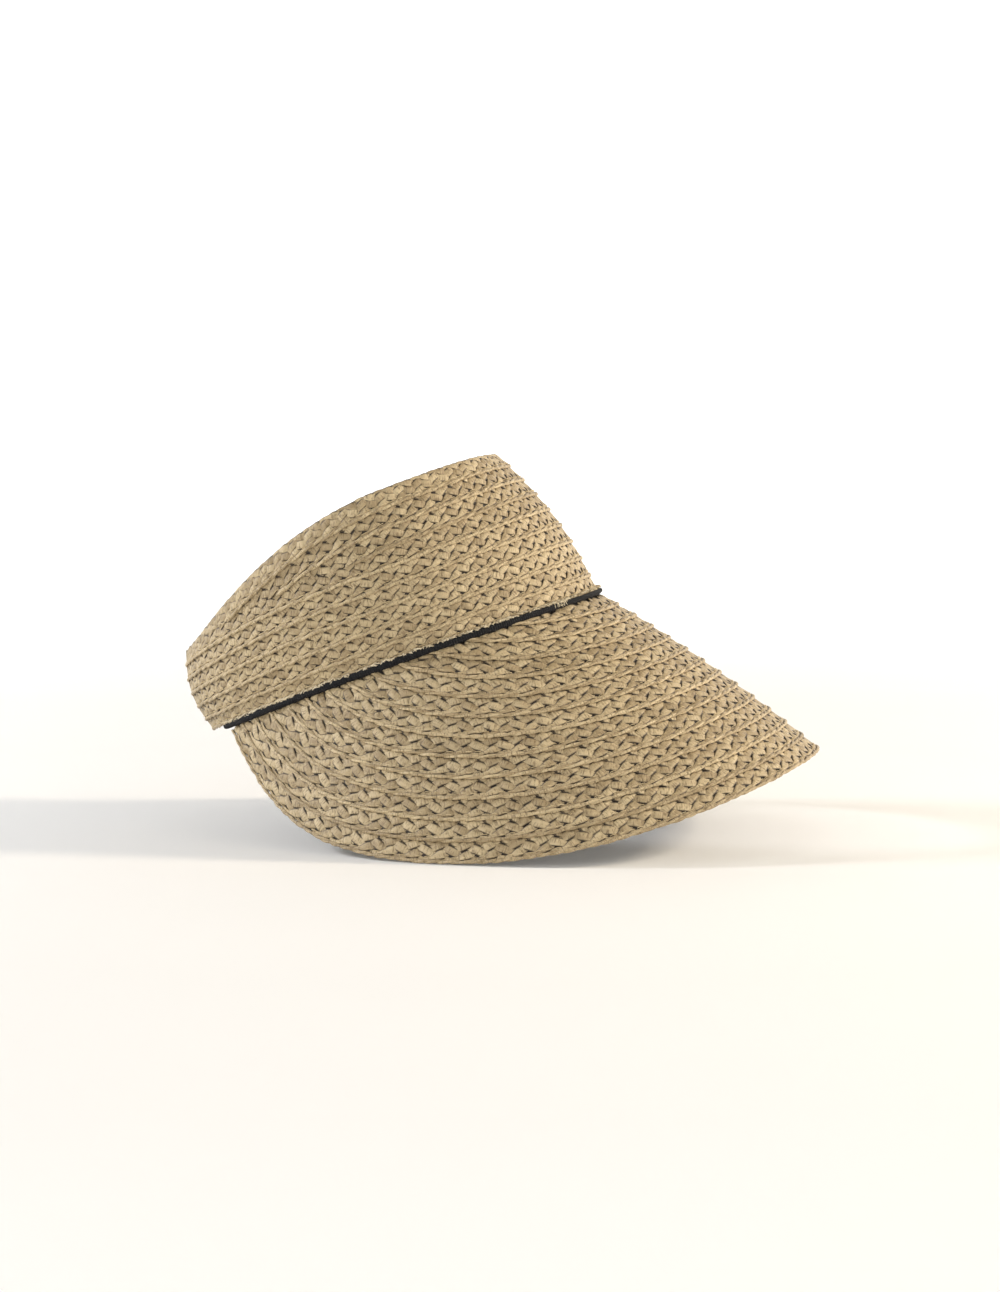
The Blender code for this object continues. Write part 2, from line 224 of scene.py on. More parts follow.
@dataclass(frozen=True)
class PaperStraw(Finish):
    """Paper straw: a ribbon of kraft paper, crinkled and pressed flat, then plaited.

    It gives the eye a dry, matt tan with fine creases, one tone to each strand and paler along fine
    fibre streaks. Painted shade darkens the crease hollows, the gaps and edges of the ribbons, and
    the paper under the next row.
    """

    dark: str = "#97835F"
    body: str = "#AC9773"
    pale: str = "#CBB790"
    # the crease colour is painted shade, for the creases' hollows
    crease_shade: str = "#705C3D"
    painted_shade: str = "#261B0D"     # painted shade, where the mesh's rise is low: down between and under the ribbons, along their edges and under the next row
    crease_mm: float = 0.8      # really 0.5, drawn wider so that it shows
    fibre_mm: float = 0.45      # really 0.2, drawn wider so that it shows
    patch_mm: float = 9.0
    relief_mm: float = 0.50
    bump: float = 1.0
    roughness: float = 0.48
    sheen: float = 0.08

    def weave(self, tree: Tree, lay: Socket) -> tuple[Socket, Socket]:
        """Return the colour and the relief of creased paper ribbon."""
        parts = add_node(tree, "ShaderNodeSeparateXYZ", {0: lay})
        strand = add_node(tree, "ShaderNodeTexWhiteNoise", {"W": parts.outputs[2]},
                          noise_dimensions="1D").outputs["Value"]
        patch = self.noise(tree, lay, self.patch_mm, self.patch_mm / 3)
        creases = self.noise(tree, lay, self.crease_mm, 3.5 * self.crease_mm, 3.0)
        fibres = self.noise(tree, lay, 14 * self.fibre_mm, self.fibre_mm, 3.0)
        tone = add_node(tree, "ShaderNodeMath", {0: strand, 1: 0.55, 2: patch},
                        operation="MULTIPLY_ADD").outputs[0]
        under = self.mix(tree, self.span(tree, tone, 0.30, 0.78), linear(self.dark),
                         linear(self.body))
        base = self.mix(tree, self.span(tree, tone, 0.62, 1.10), under, linear(self.pale))
        worn = self.mix(tree, self.span(tree, fibres, 0.58, 0.76, 0.0, 0.40), base,
                        linear(self.pale))
        # painted shade: the crease colour where the creases' relief is low
        creased = self.mix(tree, self.span(tree, creases, 0.50, 0.32, 0.0, 0.80), worn,
                           linear(self.crease_shade))
        # painted shade: the straw goes to its painted-shade colour where the mesh's rise is low
        rise = add_node(tree, "ShaderNodeAttribute", attribute_name="rise").outputs["Fac"]
        colour = self.mix(tree, self.span(tree, rise, 0.06, 0.40), linear(self.painted_shade), creased)
        relief = add_node(tree, "ShaderNodeMath", {0: fibres, 1: 0.6, 2: creases},
                          operation="MULTIPLY_ADD").outputs[0]
        return colour, relief


@dataclass(frozen=True)
class RibbedTape(Finish):
    """Woven tape: thick weft cords under a fine warp, pressed flat.

    It gives the eye small even ribs straight across the tape, nearly black and matt.
    """

    dark: str = "#030406"
    lit: str = "#0A0B10"
    rib_mm: float = 1.1         # really 0.7, drawn wider so that it shows
    thread_mm: float = 0.5
    relief_mm: float = 0.22
    bump: float = 0.8
    roughness: float = 0.92
    sheen: float = 0.0

    def weave(self, tree: Tree, lay: Socket) -> tuple[Socket, Socket]:
        """Return the colour and the relief of ribbed tape."""
        ribs = add_node(tree, "ShaderNodeTexWave", {"Vector": lay, "Scale": PI / 10 / self.rib_mm,
                                                    "Distortion": 0.35, "Detail": 1.0})
        threads = self.noise(tree, lay, self.thread_mm, 4 * self.thread_mm)
        height = add_node(tree, "ShaderNodeMath", {0: threads, 1: 0.5, 2: ribs.outputs["Fac"]},
                          operation="MULTIPLY_ADD").outputs[0]
        colour = self.mix(tree, self.span(tree, height, 0.2, 1.2), linear(self.dark),
                          linear(self.lit))
        return colour, height


@dataclass(frozen=True)
class DiagonalCloth(Finish):
    """Twill or webbing: yarns that step over one another in slanting lines.

    It gives the eye fine slanting ribs with the small breaks of single yarns between them.
    """

    dark: str = "#101114"
    lit: str = "#2B2C31"
    rib_mm: float = 1.0         # really 0.6, drawn wider so that it shows
    slant: float = 1.0
    zigzag_mm: float = 0.0      # width of each turn of a herringbone, 0 for a plain twill
    relief_mm: float = 0.16
    bump: float = 0.7
    roughness: float = 0.88
    sheen: float = 0.2

    def weave(self, tree: Tree, lay: Socket) -> tuple[Socket, Socket]:
        """Return the colour and the relief of a twill, straight or turned in zigzags."""
        parts = add_node(tree, "ShaderNodeSeparateXYZ", {0: lay})
        across = parts.outputs[1]
        if self.zigzag_mm:
            across = add_node(tree, "ShaderNodeMath", {0: across, 1: self.zigzag_mm},
                              operation="PINGPONG").outputs[0]
        slanted = add_node(tree, "ShaderNodeMath", {0: across, 1: self.slant,
                                                    2: parts.outputs[0]},
                           operation="MULTIPLY_ADD").outputs[0]
        place = add_node(tree, "ShaderNodeCombineXYZ", {0: slanted, 1: parts.outputs[1]})
        ribs = add_node(tree, "ShaderNodeTexWave", {"Vector": place.outputs[0],
                                                    "Scale": PI / 10 / self.rib_mm,
                                                    "Distortion": 0.5, "Detail": 1.0})
        yarns = self.noise(tree, lay, self.rib_mm, self.rib_mm)
        height = add_node(tree, "ShaderNodeMath", {0: yarns, 1: 0.6, 2: ribs.outputs["Fac"]},
                          operation="MULTIPLY_ADD").outputs[0]
        colour = self.mix(tree, self.span(tree, height, 0.2, 1.3), linear(self.dark),
                          linear(self.lit))
        return colour, height


@dataclass(frozen=True)
class SoftFibre(Finish):
    """Loose or spun fibre, such as sewing thread, a frayed edge, hook nylon or satin yarn.

    It gives the eye a fine grain along each thread and a slightly different tone to each one.
    """

    dark: str = "#B9A379"
    lit: str = "#E9DBBB"
    grain_mm: float = 0.4
    roughness: float = 0.7
    sheen: float = 0.1

    def weave(self, tree: Tree, lay: Socket) -> tuple[Socket, Socket]:
        """Return the colour and the relief of spun fibre."""
        grain = self.noise(tree, lay, 6 * self.grain_mm, self.grain_mm)
        colour = self.mix(tree, self.span(tree, grain, 0.3, 0.7), linear(self.dark),
                          linear(self.lit))
        return colour, grain


@dataclass(frozen=True)
class StudioPaper(Finish):
    """Seamless studio paper: matt, plain and pale, with the faint mottle of rolled stock."""

    tone: str = "#EEEDEA"
    mottle: str = "#EBEAE6"
    bump: float = 0.0
    roughness: float = 0.95
    glow: float = 0.05          # by the object, as if lit from behind, like a light tent
    far_glow: float = 0.62      # away from it

    def weave(self, tree: Tree, lay: Socket) -> tuple[Socket, Socket]:
        """Return the colour and the relief of plain paper."""
        grain = self.noise(tree, lay, 40.0, 40.0)
        shader = tree.nodes["Principled BSDF"]
        shader.inputs["Emission Color"].default_value = linear("#FFFFFF")
        rise = add_node(tree, "ShaderNodeAttribute", attribute_name="rise").outputs["Fac"]
        glow = self.span(tree, rise, 0.0, 1.0, self.glow, self.far_glow)
        tree.links.new(glow, shader.inputs["Emission Strength"])
        return self.mix(tree, grain, linear(self.tone), linear(self.mottle)), grain


STRAW = PaperStraw("paper_straw", "straw_braid")
NATURAL_TAPE = RibbedTape("natural_grosgrain_tape", "natural_grosgrain", dark="#8F7B55",
                          lit="#BCA67B")
GROSGRAIN = RibbedTape("black_grosgrain_tape", "black_grosgrain")
WEBBING = DiagonalCloth("black_herringbone_webbing", "black_webbing", slant=1.0, zigzag_mm=4.0)
TWILL = DiagonalCloth("cotton_twill", "sweatband_twill", lit="#26272C", slant=0.6)
HOOK_NYLON = SoftFibre("moulded_hook_nylon", "hook_nylon", roughness=0.45, sheen=0.0,
                       dark="#15161A", lit="#2A2B30")
LOOP_NYLON = SoftFibre("brushed_loop_nylon", "loop_nylon", roughness=0.9, sheen=0.4,
                       dark="#17181B", lit="#34353A")
SATIN = SoftFibre("label_satin", "label_satin", roughness=0.4, sheen=0.3, grain_mm=0.35,
                  dark="#D9D4C6", lit="#EFECE2", bump=0.3)
FRAYED_PAPER = SoftFibre("frayed_paper", "straw_braid", dark="#CDB88E", lit="#EFE3C6")
STRAW_THREAD = SoftFibre("straw_thread", "straw_braid", dark="#B49C70", lit="#DCC9A0")
BLACK_THREAD = SoftFibre("black_thread", "black_webbing", dark="#1D1E23", lit="#4A4B52")
PAPER = StudioPaper("studio_paper", "")


# ---- Mesh work ------------------------------------------------------------------------------


class Loom:
    """Gathers closed tubes into one mesh, with the "lay" of each point."""

    def __init__(self) -> None:
        """Start with no tubes."""
        self.points: list[Points] = []
        self.lays: list[Points] = []
        self.unshaded_shares: list[Points] = []
        self.faces: list[list[int]] = []
        self.count = 0

    def tube(self, grid: Points, lay: Points, rise: Points | None = None) -> None:
        """Add a closed tube with flat ends.

        Args:
            grid: points, an array of stations by points round the tube by 3.
            lay: the "lay" of each point, in the same shape.
            rise: how far each point stands out of the weave, from 0 to 1, or none for 1; the straw's
                material paints shade where it is low.
        """
        stations, round_it = grid.shape[:2]
        index = np.arange(stations * round_it).reshape(stations, round_it)
        after = np.roll(index, -1, axis=1)
        quads = np.stack([index[:-1], after[:-1], after[1:], index[1:]], -1).reshape(-1, 4)
        flat = grid.reshape(-1, 3)
        a, b, c, d = (flat[quads[:, i]] for i in range(4))
        middle = flat.mean(axis=0)
        volume = np.sum(np.cross(b - a, d - a) * (a - middle))
        volume += np.sum(np.cross(c - b, d - b) * (b - middle))
        caps = [index[0][::-1], index[-1]]
        if volume < 0:
            quads = quads[:, ::-1]
            caps = [cap[::-1] for cap in caps]
        self.faces += (quads + self.count).tolist()
        self.faces += [(cap + self.count).tolist() for cap in caps]
        self.points.append(flat)
        self.lays.append(lay.reshape(-1, 3))
        self.unshaded_shares.append(np.ones(len(flat)) if rise is None else rise.ravel())
        self.count += len(flat)

    def piece(self, name: str, finish: Finish, hat: "HatForm") -> bpy.types.Object:
        """Turn what was gathered into an object in the row frame.

        Args:
            name: the piece's name.
            finish: its finish.
            hat: the hat, which knows its place in the row frame.

        Returns:
            The object, riding on nothing yet.
        """
        mesh = bpy.data.meshes.new(name)
        mesh.from_pydata(hat.to_row(np.concatenate(self.points)).tolist(), [], self.faces)
        lay = mesh.attributes.new("lay", "FLOAT_VECTOR", "POINT")
        lay.data.foreach_set("vector", np.concatenate(self.lays).astype(np.float32).ravel())
        # rise: a painted-shade mask, which the straw's material reads
        rise = mesh.attributes.new("rise", "FLOAT", "POINT")
        rise.data.foreach_set("value", np.concatenate(self.unshaded_shares).astype(np.float32))
        mesh.shade_smooth()
        mesh.materials.append(finish.material())
        made = bpy.data.objects.new(name, mesh)
        bpy.context.scene.collection.objects.link(made)
        LOG.info("%s: %d points in %s", name, self.count, finish.name)
        return made


def place(piece: bpy.types.Object, finish: Finish, body: Body, *nodes: str) -> None:
    """Make a piece ride on a body and stand for its CAD nodes.

    Args:
        piece: the piece.
        finish: its finish; not used.
        body: the body it moves with.
        nodes: the CAD nodes that it replaces, if any.
    """
    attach(piece, body.value)
    if nodes:
        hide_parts(*nodes)


def thread_grid(path: Points, side: Points, up: Points, radius: Points, sides: int = 6) -> Points:
    """Sweep a round thread along a path.

    Args:
        path: the centre line, stations by 3.
        side: a direction square to the path, for each station or one for all.
        up: the other direction square to the path.
        radius: the radius at each station.
        sides: how many points go round it.

    Returns:
        The tube's points.
    """
    turn = np.linspace(0, 2 * PI, sides, endpoint=False)
    ring = np.cos(turn)[:, None] * side[..., None, :] + np.sin(turn)[:, None] * up[..., None, :]
    return path[:, None, :] + ring * radius[:, None, None]


def stretches(inside: Points, least: int = 4) -> list[slice]:
    """Find the unbroken stretches of stations that lie inside a row's cut.

    Args:
        inside: whether each station does.
        least: how many stations a stretch needs to be kept.

    Returns:
        The stretches, in order.
    """
    changes = np.flatnonzero(np.diff(np.concatenate([[0], inside.astype(int), [0]])))
    return [slice(first, last) for first, last in zip(changes[::2], changes[1::2])
            if last - first >= least]


# ---- The hat's form -------------------------------------------------------------------------


@dataclass
class HatForm:
    """The surfaces that crown, brim and strap lie on, with the CAD model's own sizes in metres."""

    crown_length: float = 0.200
    crown_width: float = 0.156
    ring_dish: float = 0.0014
    lower_heights: tuple[float, float, float] = (0.0575, 0.0505, 0.0415)  # front, side, back
    lower_rows: int = 6
    upper_rows: int = 3
    upper_pitch: float = 0.009
    upper_angles: tuple[float, float] = (70.0, 157.0)    # where they are full, and end
    leans: tuple[float, float, float] = (16.8, 2.0, 0.0)
    bows: tuple[float, float, float] = (0.0052, 0.0020, 0.0044)
    brim_wide: float = 0.1300
    brim_end: float = 144.0
    brim_powers: tuple[float, float] = (2.6, 0.87)
    slopes: tuple[float, float, float] = (55.2, 66.0, 88.0)
    curls: tuple[float, float] = (9.0, 10.0)             # front, side
    brim_pitch: float = 0.0099
    brim_rows: int = 13
    thickness: float = 0.0013                            # of the braid
    lap: float = 0.0032         # 1.2 mm more than the stand-ins', so that no light shows through
    lap_cad: float = 0.002      # of the stand-ins' own rows
    gap: float = 0.0003
    seam_room: float = 0.0015
    back_opening: float = 0.022
    end_tape: float = 0.0024                             # width of the tape over each cut end
    end_tape_proud: float = 0.0005
    strap_thickness: float = 0.0014
    fastener_thickness: float = 0.0009                   # of each half of the hook and loop
    hinge_share: float = 0.3
    sewn_share: float = 0.40    # of a lap's depth, to which the sewing pulls two rows together
    stations: int = 256
    march_steps: int = 4
    pitch: float = field(init=False)
    offset: Points = field(init=False)

    def __post_init__(self) -> None:
        """Take the visor's tilt and place from the closure's hinge in the frame."""
        self.half_length = self.crown_length / 2
        self.half_width = self.crown_width / 2
        least = min(min(self.lower_heights) / self.lower_rows, self.upper_pitch, self.brim_pitch)
        self.lap_depth = (self.thickness + self.gap) * (least + self.lap_cad) / least
        self.wall = self.lap_depth + self.thickness
        self.sewn_depth = self.lap_depth * self.sewn_share
        self.end_angle = PI - math.asin(self.back_opening / 2 / self.half_width)
        self.hinge_angle = PI - (PI - self.end_angle) * self.hinge_share
        joint = frame["joints"][0]
        axis = joint["axis"]
        self.pitch = math.atan2(axis[1], axis[2])
        self.offset = np.zeros(3)
        hinge = np.array([self.hinge_angle])
        height = np.array([self.lower_heights[2] / 2])
        hinge = self.crown_point(hinge, height, self.strap_depth(hinge))[0]
        self.offset = np.array(joint["pos_m"]) - self.to_row(hinge)

    def to_row(self, points: Points) -> Points:
        """Return points of the hat frame in the row frame."""
        sine, cosine = math.sin(self.pitch), math.cos(self.pitch)
        x, y, z = points[..., 0], points[..., 1], points[..., 2]
        return np.stack([x, y * cosine + z * sine, z * cosine - y * sine], -1) + self.offset

    def ring(self, angle: Points) -> tuple[Points, Points]:
        """Return points of the base ring and its outward directions."""
        sine, cosine = np.sin(angle), np.cos(angle)
        rise = -self.ring_dish * np.cos(2 * angle)
        points = np.stack([-self.half_width * sine, -self.half_length * cosine, rise], -1)
        outward = np.stack([-self.half_length * sine, -self.half_width * cosine, 0 * rise], -1)
        return points, unit(outward)

    def lower_height(self, angle: Points) -> Points:
        """Return the height of the crown rows that run all the way round."""
        return around(*self.lower_heights, angle)

    def crown_height(self, angle: Points) -> Points:
        """Return the full height of the crown, along its wall."""
        from_front = np.abs(np.degrees(np.mod(angle + PI, 2 * PI) - PI))
        full, end = self.upper_angles
        rise = self.upper_rows * self.upper_pitch * smooth((end - from_front) / (end - full))
        return self.lower_height(angle) + rise

    def crown_point(self, angle: Points, height: Points, depth: Points) -> Points:
        """Return points of the crown wall, a height up it and a depth in from its outer face."""
        points, outward = self.ring(angle)
        lean = np.radians(around(*self.leans, angle))
        bow = around(*self.bows, angle)
        bow = bow * np.sin(PI * np.clip(height / self.crown_height(angle), 0, 1))
        inward = height * np.sin(lean) - bow + depth * np.cos(lean)
        rise = height * np.cos(lean) - depth * np.sin(lean)
        return points - outward * inward[..., None] + np.array([0.0, 0.0, 1.0]) * rise[..., None]

    def brim_width(self, angle: Points) -> Points:
        """Return the width of the brim from the ring to its outer edge."""
        share = np.clip(np.abs(np.degrees(angle)) / self.brim_end, 0, 1)
        return self.brim_wide * (1 - share ** self.brim_powers[0]) ** self.brim_powers[1]

    def brim_surface(self, angle: Points, out: Points) -> Points:
        """Return points of the brim's upper face, a distance out from the ring."""
        points, outward = self.ring(angle)
        slope = np.radians(around(*self.slopes, angle))
        front, side = self.curls
        rate = np.radians(front + (side - front) * np.sin(angle) ** 2) / self.brim_wide
        start = slope - rate * self.brim_width(angle) / 2
        across = (np.sin(start + rate * out) - np.sin(start)) / rate
        down = (np.cos(start) - np.cos(start + rate * out)) / rate
        return points + outward * across[..., None] - np.array([0.0, 0.0, 1.0]) * down[..., None]

    def brim_directions(self, angle: Points, out: Points) -> tuple[Points, Points, Points]:
        """Return how the brim's face runs round the ring and out from it, and its normal."""
        nudge = 1e-5
        after, before = (self.brim_surface(angle + n, out) for n in (nudge, -nudge))
        round_ring = (after - before) / (2 * nudge)
        after, before = (self.brim_surface(angle, out + n) for n in (nudge, -nudge))
        outwards = (after - before) / (2 * nudge)
        return round_ring, outwards, unit(np.cross(round_ring, outwards))

    def brim_point(self, angle: Points, out: Points, depth: Points) -> Points:
        """Return points a depth below the brim's upper face."""
        face = self.brim_surface(angle, out)
        return face - self.brim_directions(angle, out)[2] * depth[..., None]

    def brim_curves(self, distances: list[float]) -> list[tuple[Points, Points]]:
        """Trace curves that keep the given distances from the brim's outer edge.

        Args:
            distances: in metres, rising.

        Returns:
            The angle and the distance out from the ring along each curve.
        """
        end = math.radians(self.brim_end)
        fine = np.linspace(-end, end, 4001)
        steps = np.diff(self.brim_surface(fine, self.brim_width(fine)), axis=0)
        run = np.concatenate([[0.0], np.cumsum(np.linalg.norm(steps, axis=1))])
        angle = np.interp(np.linspace(0, run[-1], self.stations), run, fine)
        out = self.brim_width(angle)
        travelled = 0.0
        curves = []
        for distance in distances:
            count = max(1, round((distance - travelled) / (self.brim_pitch / self.march_steps)))
            for _ in range(count):
                step = (distance - travelled) / count
                tangent = unit(np.gradient(self.brim_surface(angle, out), axis=0))
                round_ring, outwards, normal = self.brim_directions(angle, out)
                step = np.where(out > -self.brim_pitch, step, 0.0)[:, None]
                move = np.cross(tangent, normal) * step
                aa = np.sum(round_ring * round_ring, -1)
                ab = np.sum(round_ring * outwards, -1)
                bb = np.sum(outwards * outwards, -1)
                ma, mb = np.sum(round_ring * move, -1), np.sum(outwards * move, -1)
                angle = angle + (ma * bb - mb * ab) / (aa * bb - ab * ab)
                out = out + (mb * aa - ma * ab) / (aa * bb - ab * ab)
            travelled = distance
            curves.append((angle, out))
        return curves

    def strap_depth(self, angle: Points) -> Points:
        """Return the depth of the strap's outer face: inside the right end, out over the left."""
        inside = self.wall + self.end_tape_proud + 2 * self.gap
        outside = -(2 * self.fastener_thickness + 4 * self.gap + self.strap_thickness)
        half = PI - self.end_angle - (self.end_tape + 2 * self.gap) / self.half_width
        return inside + (outside - inside) * smooth((angle - PI + half) / (2 * half))


# ---- Braid ----------------------------------------------------------------------------------

Surface = Callable[[Points, Points, Points], Points]


@dataclass
class RowBed:
    """The curved strip that one braid row lies on, from its free edge to its covered one.

    A place on it is a run along its middle, a share across it and a lift above its mid plane.
    """

    surface: Surface            # points from an angle, a reach from the ring and a depth
    free_edge: tuple[Points, Points]       # angle and reach, station by station
    covered_edge: tuple[Points, Points]
    least_reach: Points         # the row is cut where it would reach less
    thickness: float
    lap_depth: float
    shown: Points | None = None     # share at which the next row covers it, if one does
    length: float = field(init=False)

    def __post_init__(self) -> None:
        """Measure the row."""
        middle = [(a + b) / 2 for a, b in zip(self.free_edge, self.covered_edge)]
        line = self.surface(*middle, np.zeros_like(middle[0]))
        steps = np.linalg.norm(np.diff(line, axis=0), axis=1)
        self.stations = np.concatenate([[0.0], np.cumsum(steps)])
        self.length = float(self.stations[-1])
        zero = np.zeros_like(middle[0])
        across = self.surface(*self.free_edge, zero) - self.surface(*self.covered_edge, zero)
        self.widths = np.linalg.norm(across, axis=1)
        if self.shown is None:
            self.shown = zero + 2.0

    def at(self, run: Points, values: Points) -> Points:
        """Return station values read at the given runs."""
        return np.interp(run, self.stations, values)

    def reach(self, run: Points, share: Points) -> Points:
        """Return how far from the ring a place is."""
        free, covered = (self.at(run, edge[1]) for edge in (self.free_edge, self.covered_edge))
        return free + (covered - free) * share

    def room(self, run: Points, share: Points) -> Points:
        """Return how far a place is inside the row's cut."""
        return self.reach(run, share) - self.at(run, self.least_reach)

    def points(self, run: Points, share: Points, lift: Points) -> Points:
        """Return the points of places on the bed."""
        free, covered = (self.at(run, edge[0]) for edge in (self.free_edge, self.covered_edge))
        angle = free + (covered - free) * share
        reach = np.maximum(self.reach(run, share), self.at(run, self.least_reach))
        return self.surface(angle, reach, share * self.lap_depth + self.thickness / 2 - lift)

    def path(self, run: Points, share: Points, lift: Points) -> tuple[Points, Points, Points]:
        """Return a line over the bed, with its sideways and its upward directions."""
        nudge = 1e-4
        line = self.points(run, share, lift)
        up = unit(self.points(run, share, lift + nudge) - line)
        return line, unit(np.cross(unit(np.gradient(line, axis=0)), up)), up


@dataclass
class Plait:
    """A flat plait of five paper ribbons, each woven over one and under the next.

    Every ribbon crosses the plait one ribbon's step at a time, folds over at the edge and crosses
    back. Lengths are in metres.
    """

    step: float                 # along the plait from one crossing to the next
    ribbons: int = 5
    half_width: float = 0.00228
    half_thickness: float = 0.00020
    crown: float = 0.00042      # how far a ribbon's middle stands above its edges
    weave_lift: float = 0.0005  # of a ribbon's middle as it passes over or under
    lift_change: float = 0.00007
    width_change: float = 0.07  # along a ribbon, as a share of its width
    wander: float = 0.05        # sideways, in steps
    twist: float = 0.10         # about a ribbon's own length
    squareness: tuple[float, float] = (0.6, 0.8)    # of a ribbon's sides and faces, 1 being round
    fold_width: float = 0.42    # of the full width, where it folds over at the edge
    fold_thickness: float = 1.8
    fold_from: float = 0.62     # of the way out to the edge, where it starts to fold
    fold_over: float = 0.38     # of that way, over which it folds
    fold_haste: float = 1.15    # how much sooner than that the fold is whole
    fold_flat: float = 0.7      # of the crown, which it loses there
    edge_room: float = 0.50     # from the plait's edge to a ribbon's middle there, in steps
    roundness: float = 0.95     # of the turn at the edge, 1 being sharp
    edge_shade: float = 1.15    # how fast the painted shade along a ribbon's two edges gives way inwards
    edge_lift: float = 0.0002   # of the row's free edge, which the sewing leaves standing
    edge_lift_share: float = 0.35   # of the row's width, over which that dies away
    cover_start: float = 0.04   # of the width, how far out the next row's painted shade starts
    cover_span: float = 0.06    # of the width, over which that grows
    rim_radius: float = 0.00062  # of each of the two edge strands twisted along the free edge
    rim_turn: float = 0.0125    # length of one turn of that twist
    rim_middle: tuple[float, float] = (0.15, 0.95)  # of the two strands, in from the edge and up
    rim_spread: float = 0.60    # of each strand from that middle, all three in strand radii
    rim_section: tuple[float, float] = (1.1, 0.75)  # a strand's width and height, in its radii
    web_lift: float = 0.00016   # of the dark sheet of painted shade that shows between the ribbons
    web_thickness: float = 0.00022
    web_shares: tuple[float, ...] = (0.05, 0.28, 0.5, 0.72, 0.96)   # where its points lie across
    samples: int = 5            # to a step
    round_it: int = 10

    def heights(self, turn: Points) -> Points:
        """Return how high a ribbon lies, over or under, at each step of its turn."""
        marks = np.array([0, -1, 1, -1, 1, 0, -1, 1, -1, 1, 0], float)
        whole = np.floor(turn).astype(int) % 10
        part = smooth(turn - np.floor(turn))
        return self.weave_lift * (marks[whole] + (marks[whole + 1] - marks[whole]) * part)

    def ribbon(self, loom: Loom, bed: RowBed, number: int, rng: np.random.Generator,
               phase: float) -> None:
        """Weave one ribbon over the bed.

        Args:
            loom: where its tubes go.
            bed: the row's bed.
            number: which of the plait's ribbons it is.
            rng: the row's random numbers.
            phase: where in its turn the row begins, in steps.
        """
        steps = bed.length / self.step
        t = np.linspace(0, steps, int(steps * self.samples) + 1)
        run = t * self.step
        turn = np.mod(t + 2 * number + phase, 2 * self.ribbons)
        middle = self.ribbons / 2
        sine = self.roundness * np.sin(PI * (turn - middle) / self.ribbons)
        swing = np.arcsin(sine) / math.asin(self.roundness)
        drift = self.wander * waver(run, rng, (0.017, 0.043))
        u = middle + (middle - self.edge_room) * swing + drift
        step_across = bed.at(run, bed.widths) / self.ribbons
        fold = smooth(self.fold_haste * (np.abs(swing) - self.fold_from) / self.fold_over)
        half = self.half_width * (1 - (1 - self.fold_width) * fold)
        half = half * (1 + self.width_change * waver(run, rng, (0.009, 0.021, 0.05)))
        thick = self.half_thickness * (1 + (self.fold_thickness - 1) * fold)
        lift = self.heights(turn) + self.lift_change * waver(run, rng, (0.012, 0.031))
        along, across = np.gradient(run), np.gradient(u) * step_across
        length = np.hypot(along, across)
        along, across = along / length, across / length
        angle = np.linspace(0, 2 * PI, self.round_it, endpoint=False)
        v = signed_power(np.cos(angle), self.squareness[0])
        edge = signed_power(np.sin(angle), self.squareness[1])
        twist = self.twist * waver(run, rng, (0.011, 0.026))[:, None] * v
        z = lift[:, None] + thick[:, None] * edge
        z = z + self.crown * (1 - self.fold_flat * fold[:, None]) * (1 - v ** 2)
        z = z + self.half_thickness * twist
        side = v * half[:, None]
        runs = np.clip(run[:, None] - side * across[:, None], 0, bed.length)
        shares = (u[:, None] + side * along[:, None] / step_across[:, None]) / self.ribbons
        # rise is a painted-shade mask: lower, so darker, where a ribbon passes under another
        rise = (z + self.weave_lift + self.half_thickness) / (2 * self.weave_lift + self.crown)
        # painted shade where the next row lies over this one
        covered = bed.at(runs, bed.shown) - self.cover_start
        rise = rise * smooth((covered - shares) / self.cover_span)
        # painted shade along each ribbon's two edges
        rise = np.minimum(rise, self.edge_shade * (1 - np.abs(v)))
        z = z + self.edge_lift * smooth(1 - shares / self.edge_lift_share)
        grid = bed.points(runs, shares, z)
        travelled = np.cumsum(length) / MM
        tag = rng.uniform(0, 50)
        lay = np.stack(np.broadcast_arrays(travelled[:, None], side / MM, tag), -1)
        for part in stretches(bed.room(run, u / self.ribbons) > 0):
            loom.tube(grid[part], lay[part], np.clip(rise[part], 0, 1))

    def web(self, loom: Loom, bed: RowBed) -> None:
        """Lay a dark sheet of painted shade in the plait's middle, where the ribbons cross unseen;
        it shows between them.

        Args:
            loom: where it goes.
            bed: the row's bed.
        """
        run = np.linspace(0, bed.length, int(bed.length / (self.step / 2)) + 2)
        share = np.array(self.web_shares)
        run, share = np.broadcast_arrays(run[:, None], np.concatenate([share, share[::-1]]))
        lift = np.repeat([self.web_lift, self.web_lift - self.web_thickness],
                         len(self.web_shares))
        grid = bed.points(run, share, np.broadcast_to(lift, run.shape))
        lay = np.stack([run / MM, share * 10, share * 0], -1)
        for part in stretches(bed.room(run[:, 0], share[:, 2]) > 0):
            # a rise of 0 gives this sheet the straw's full painted shade
            loom.tube(grid[part], lay[part], 0 * run[part])

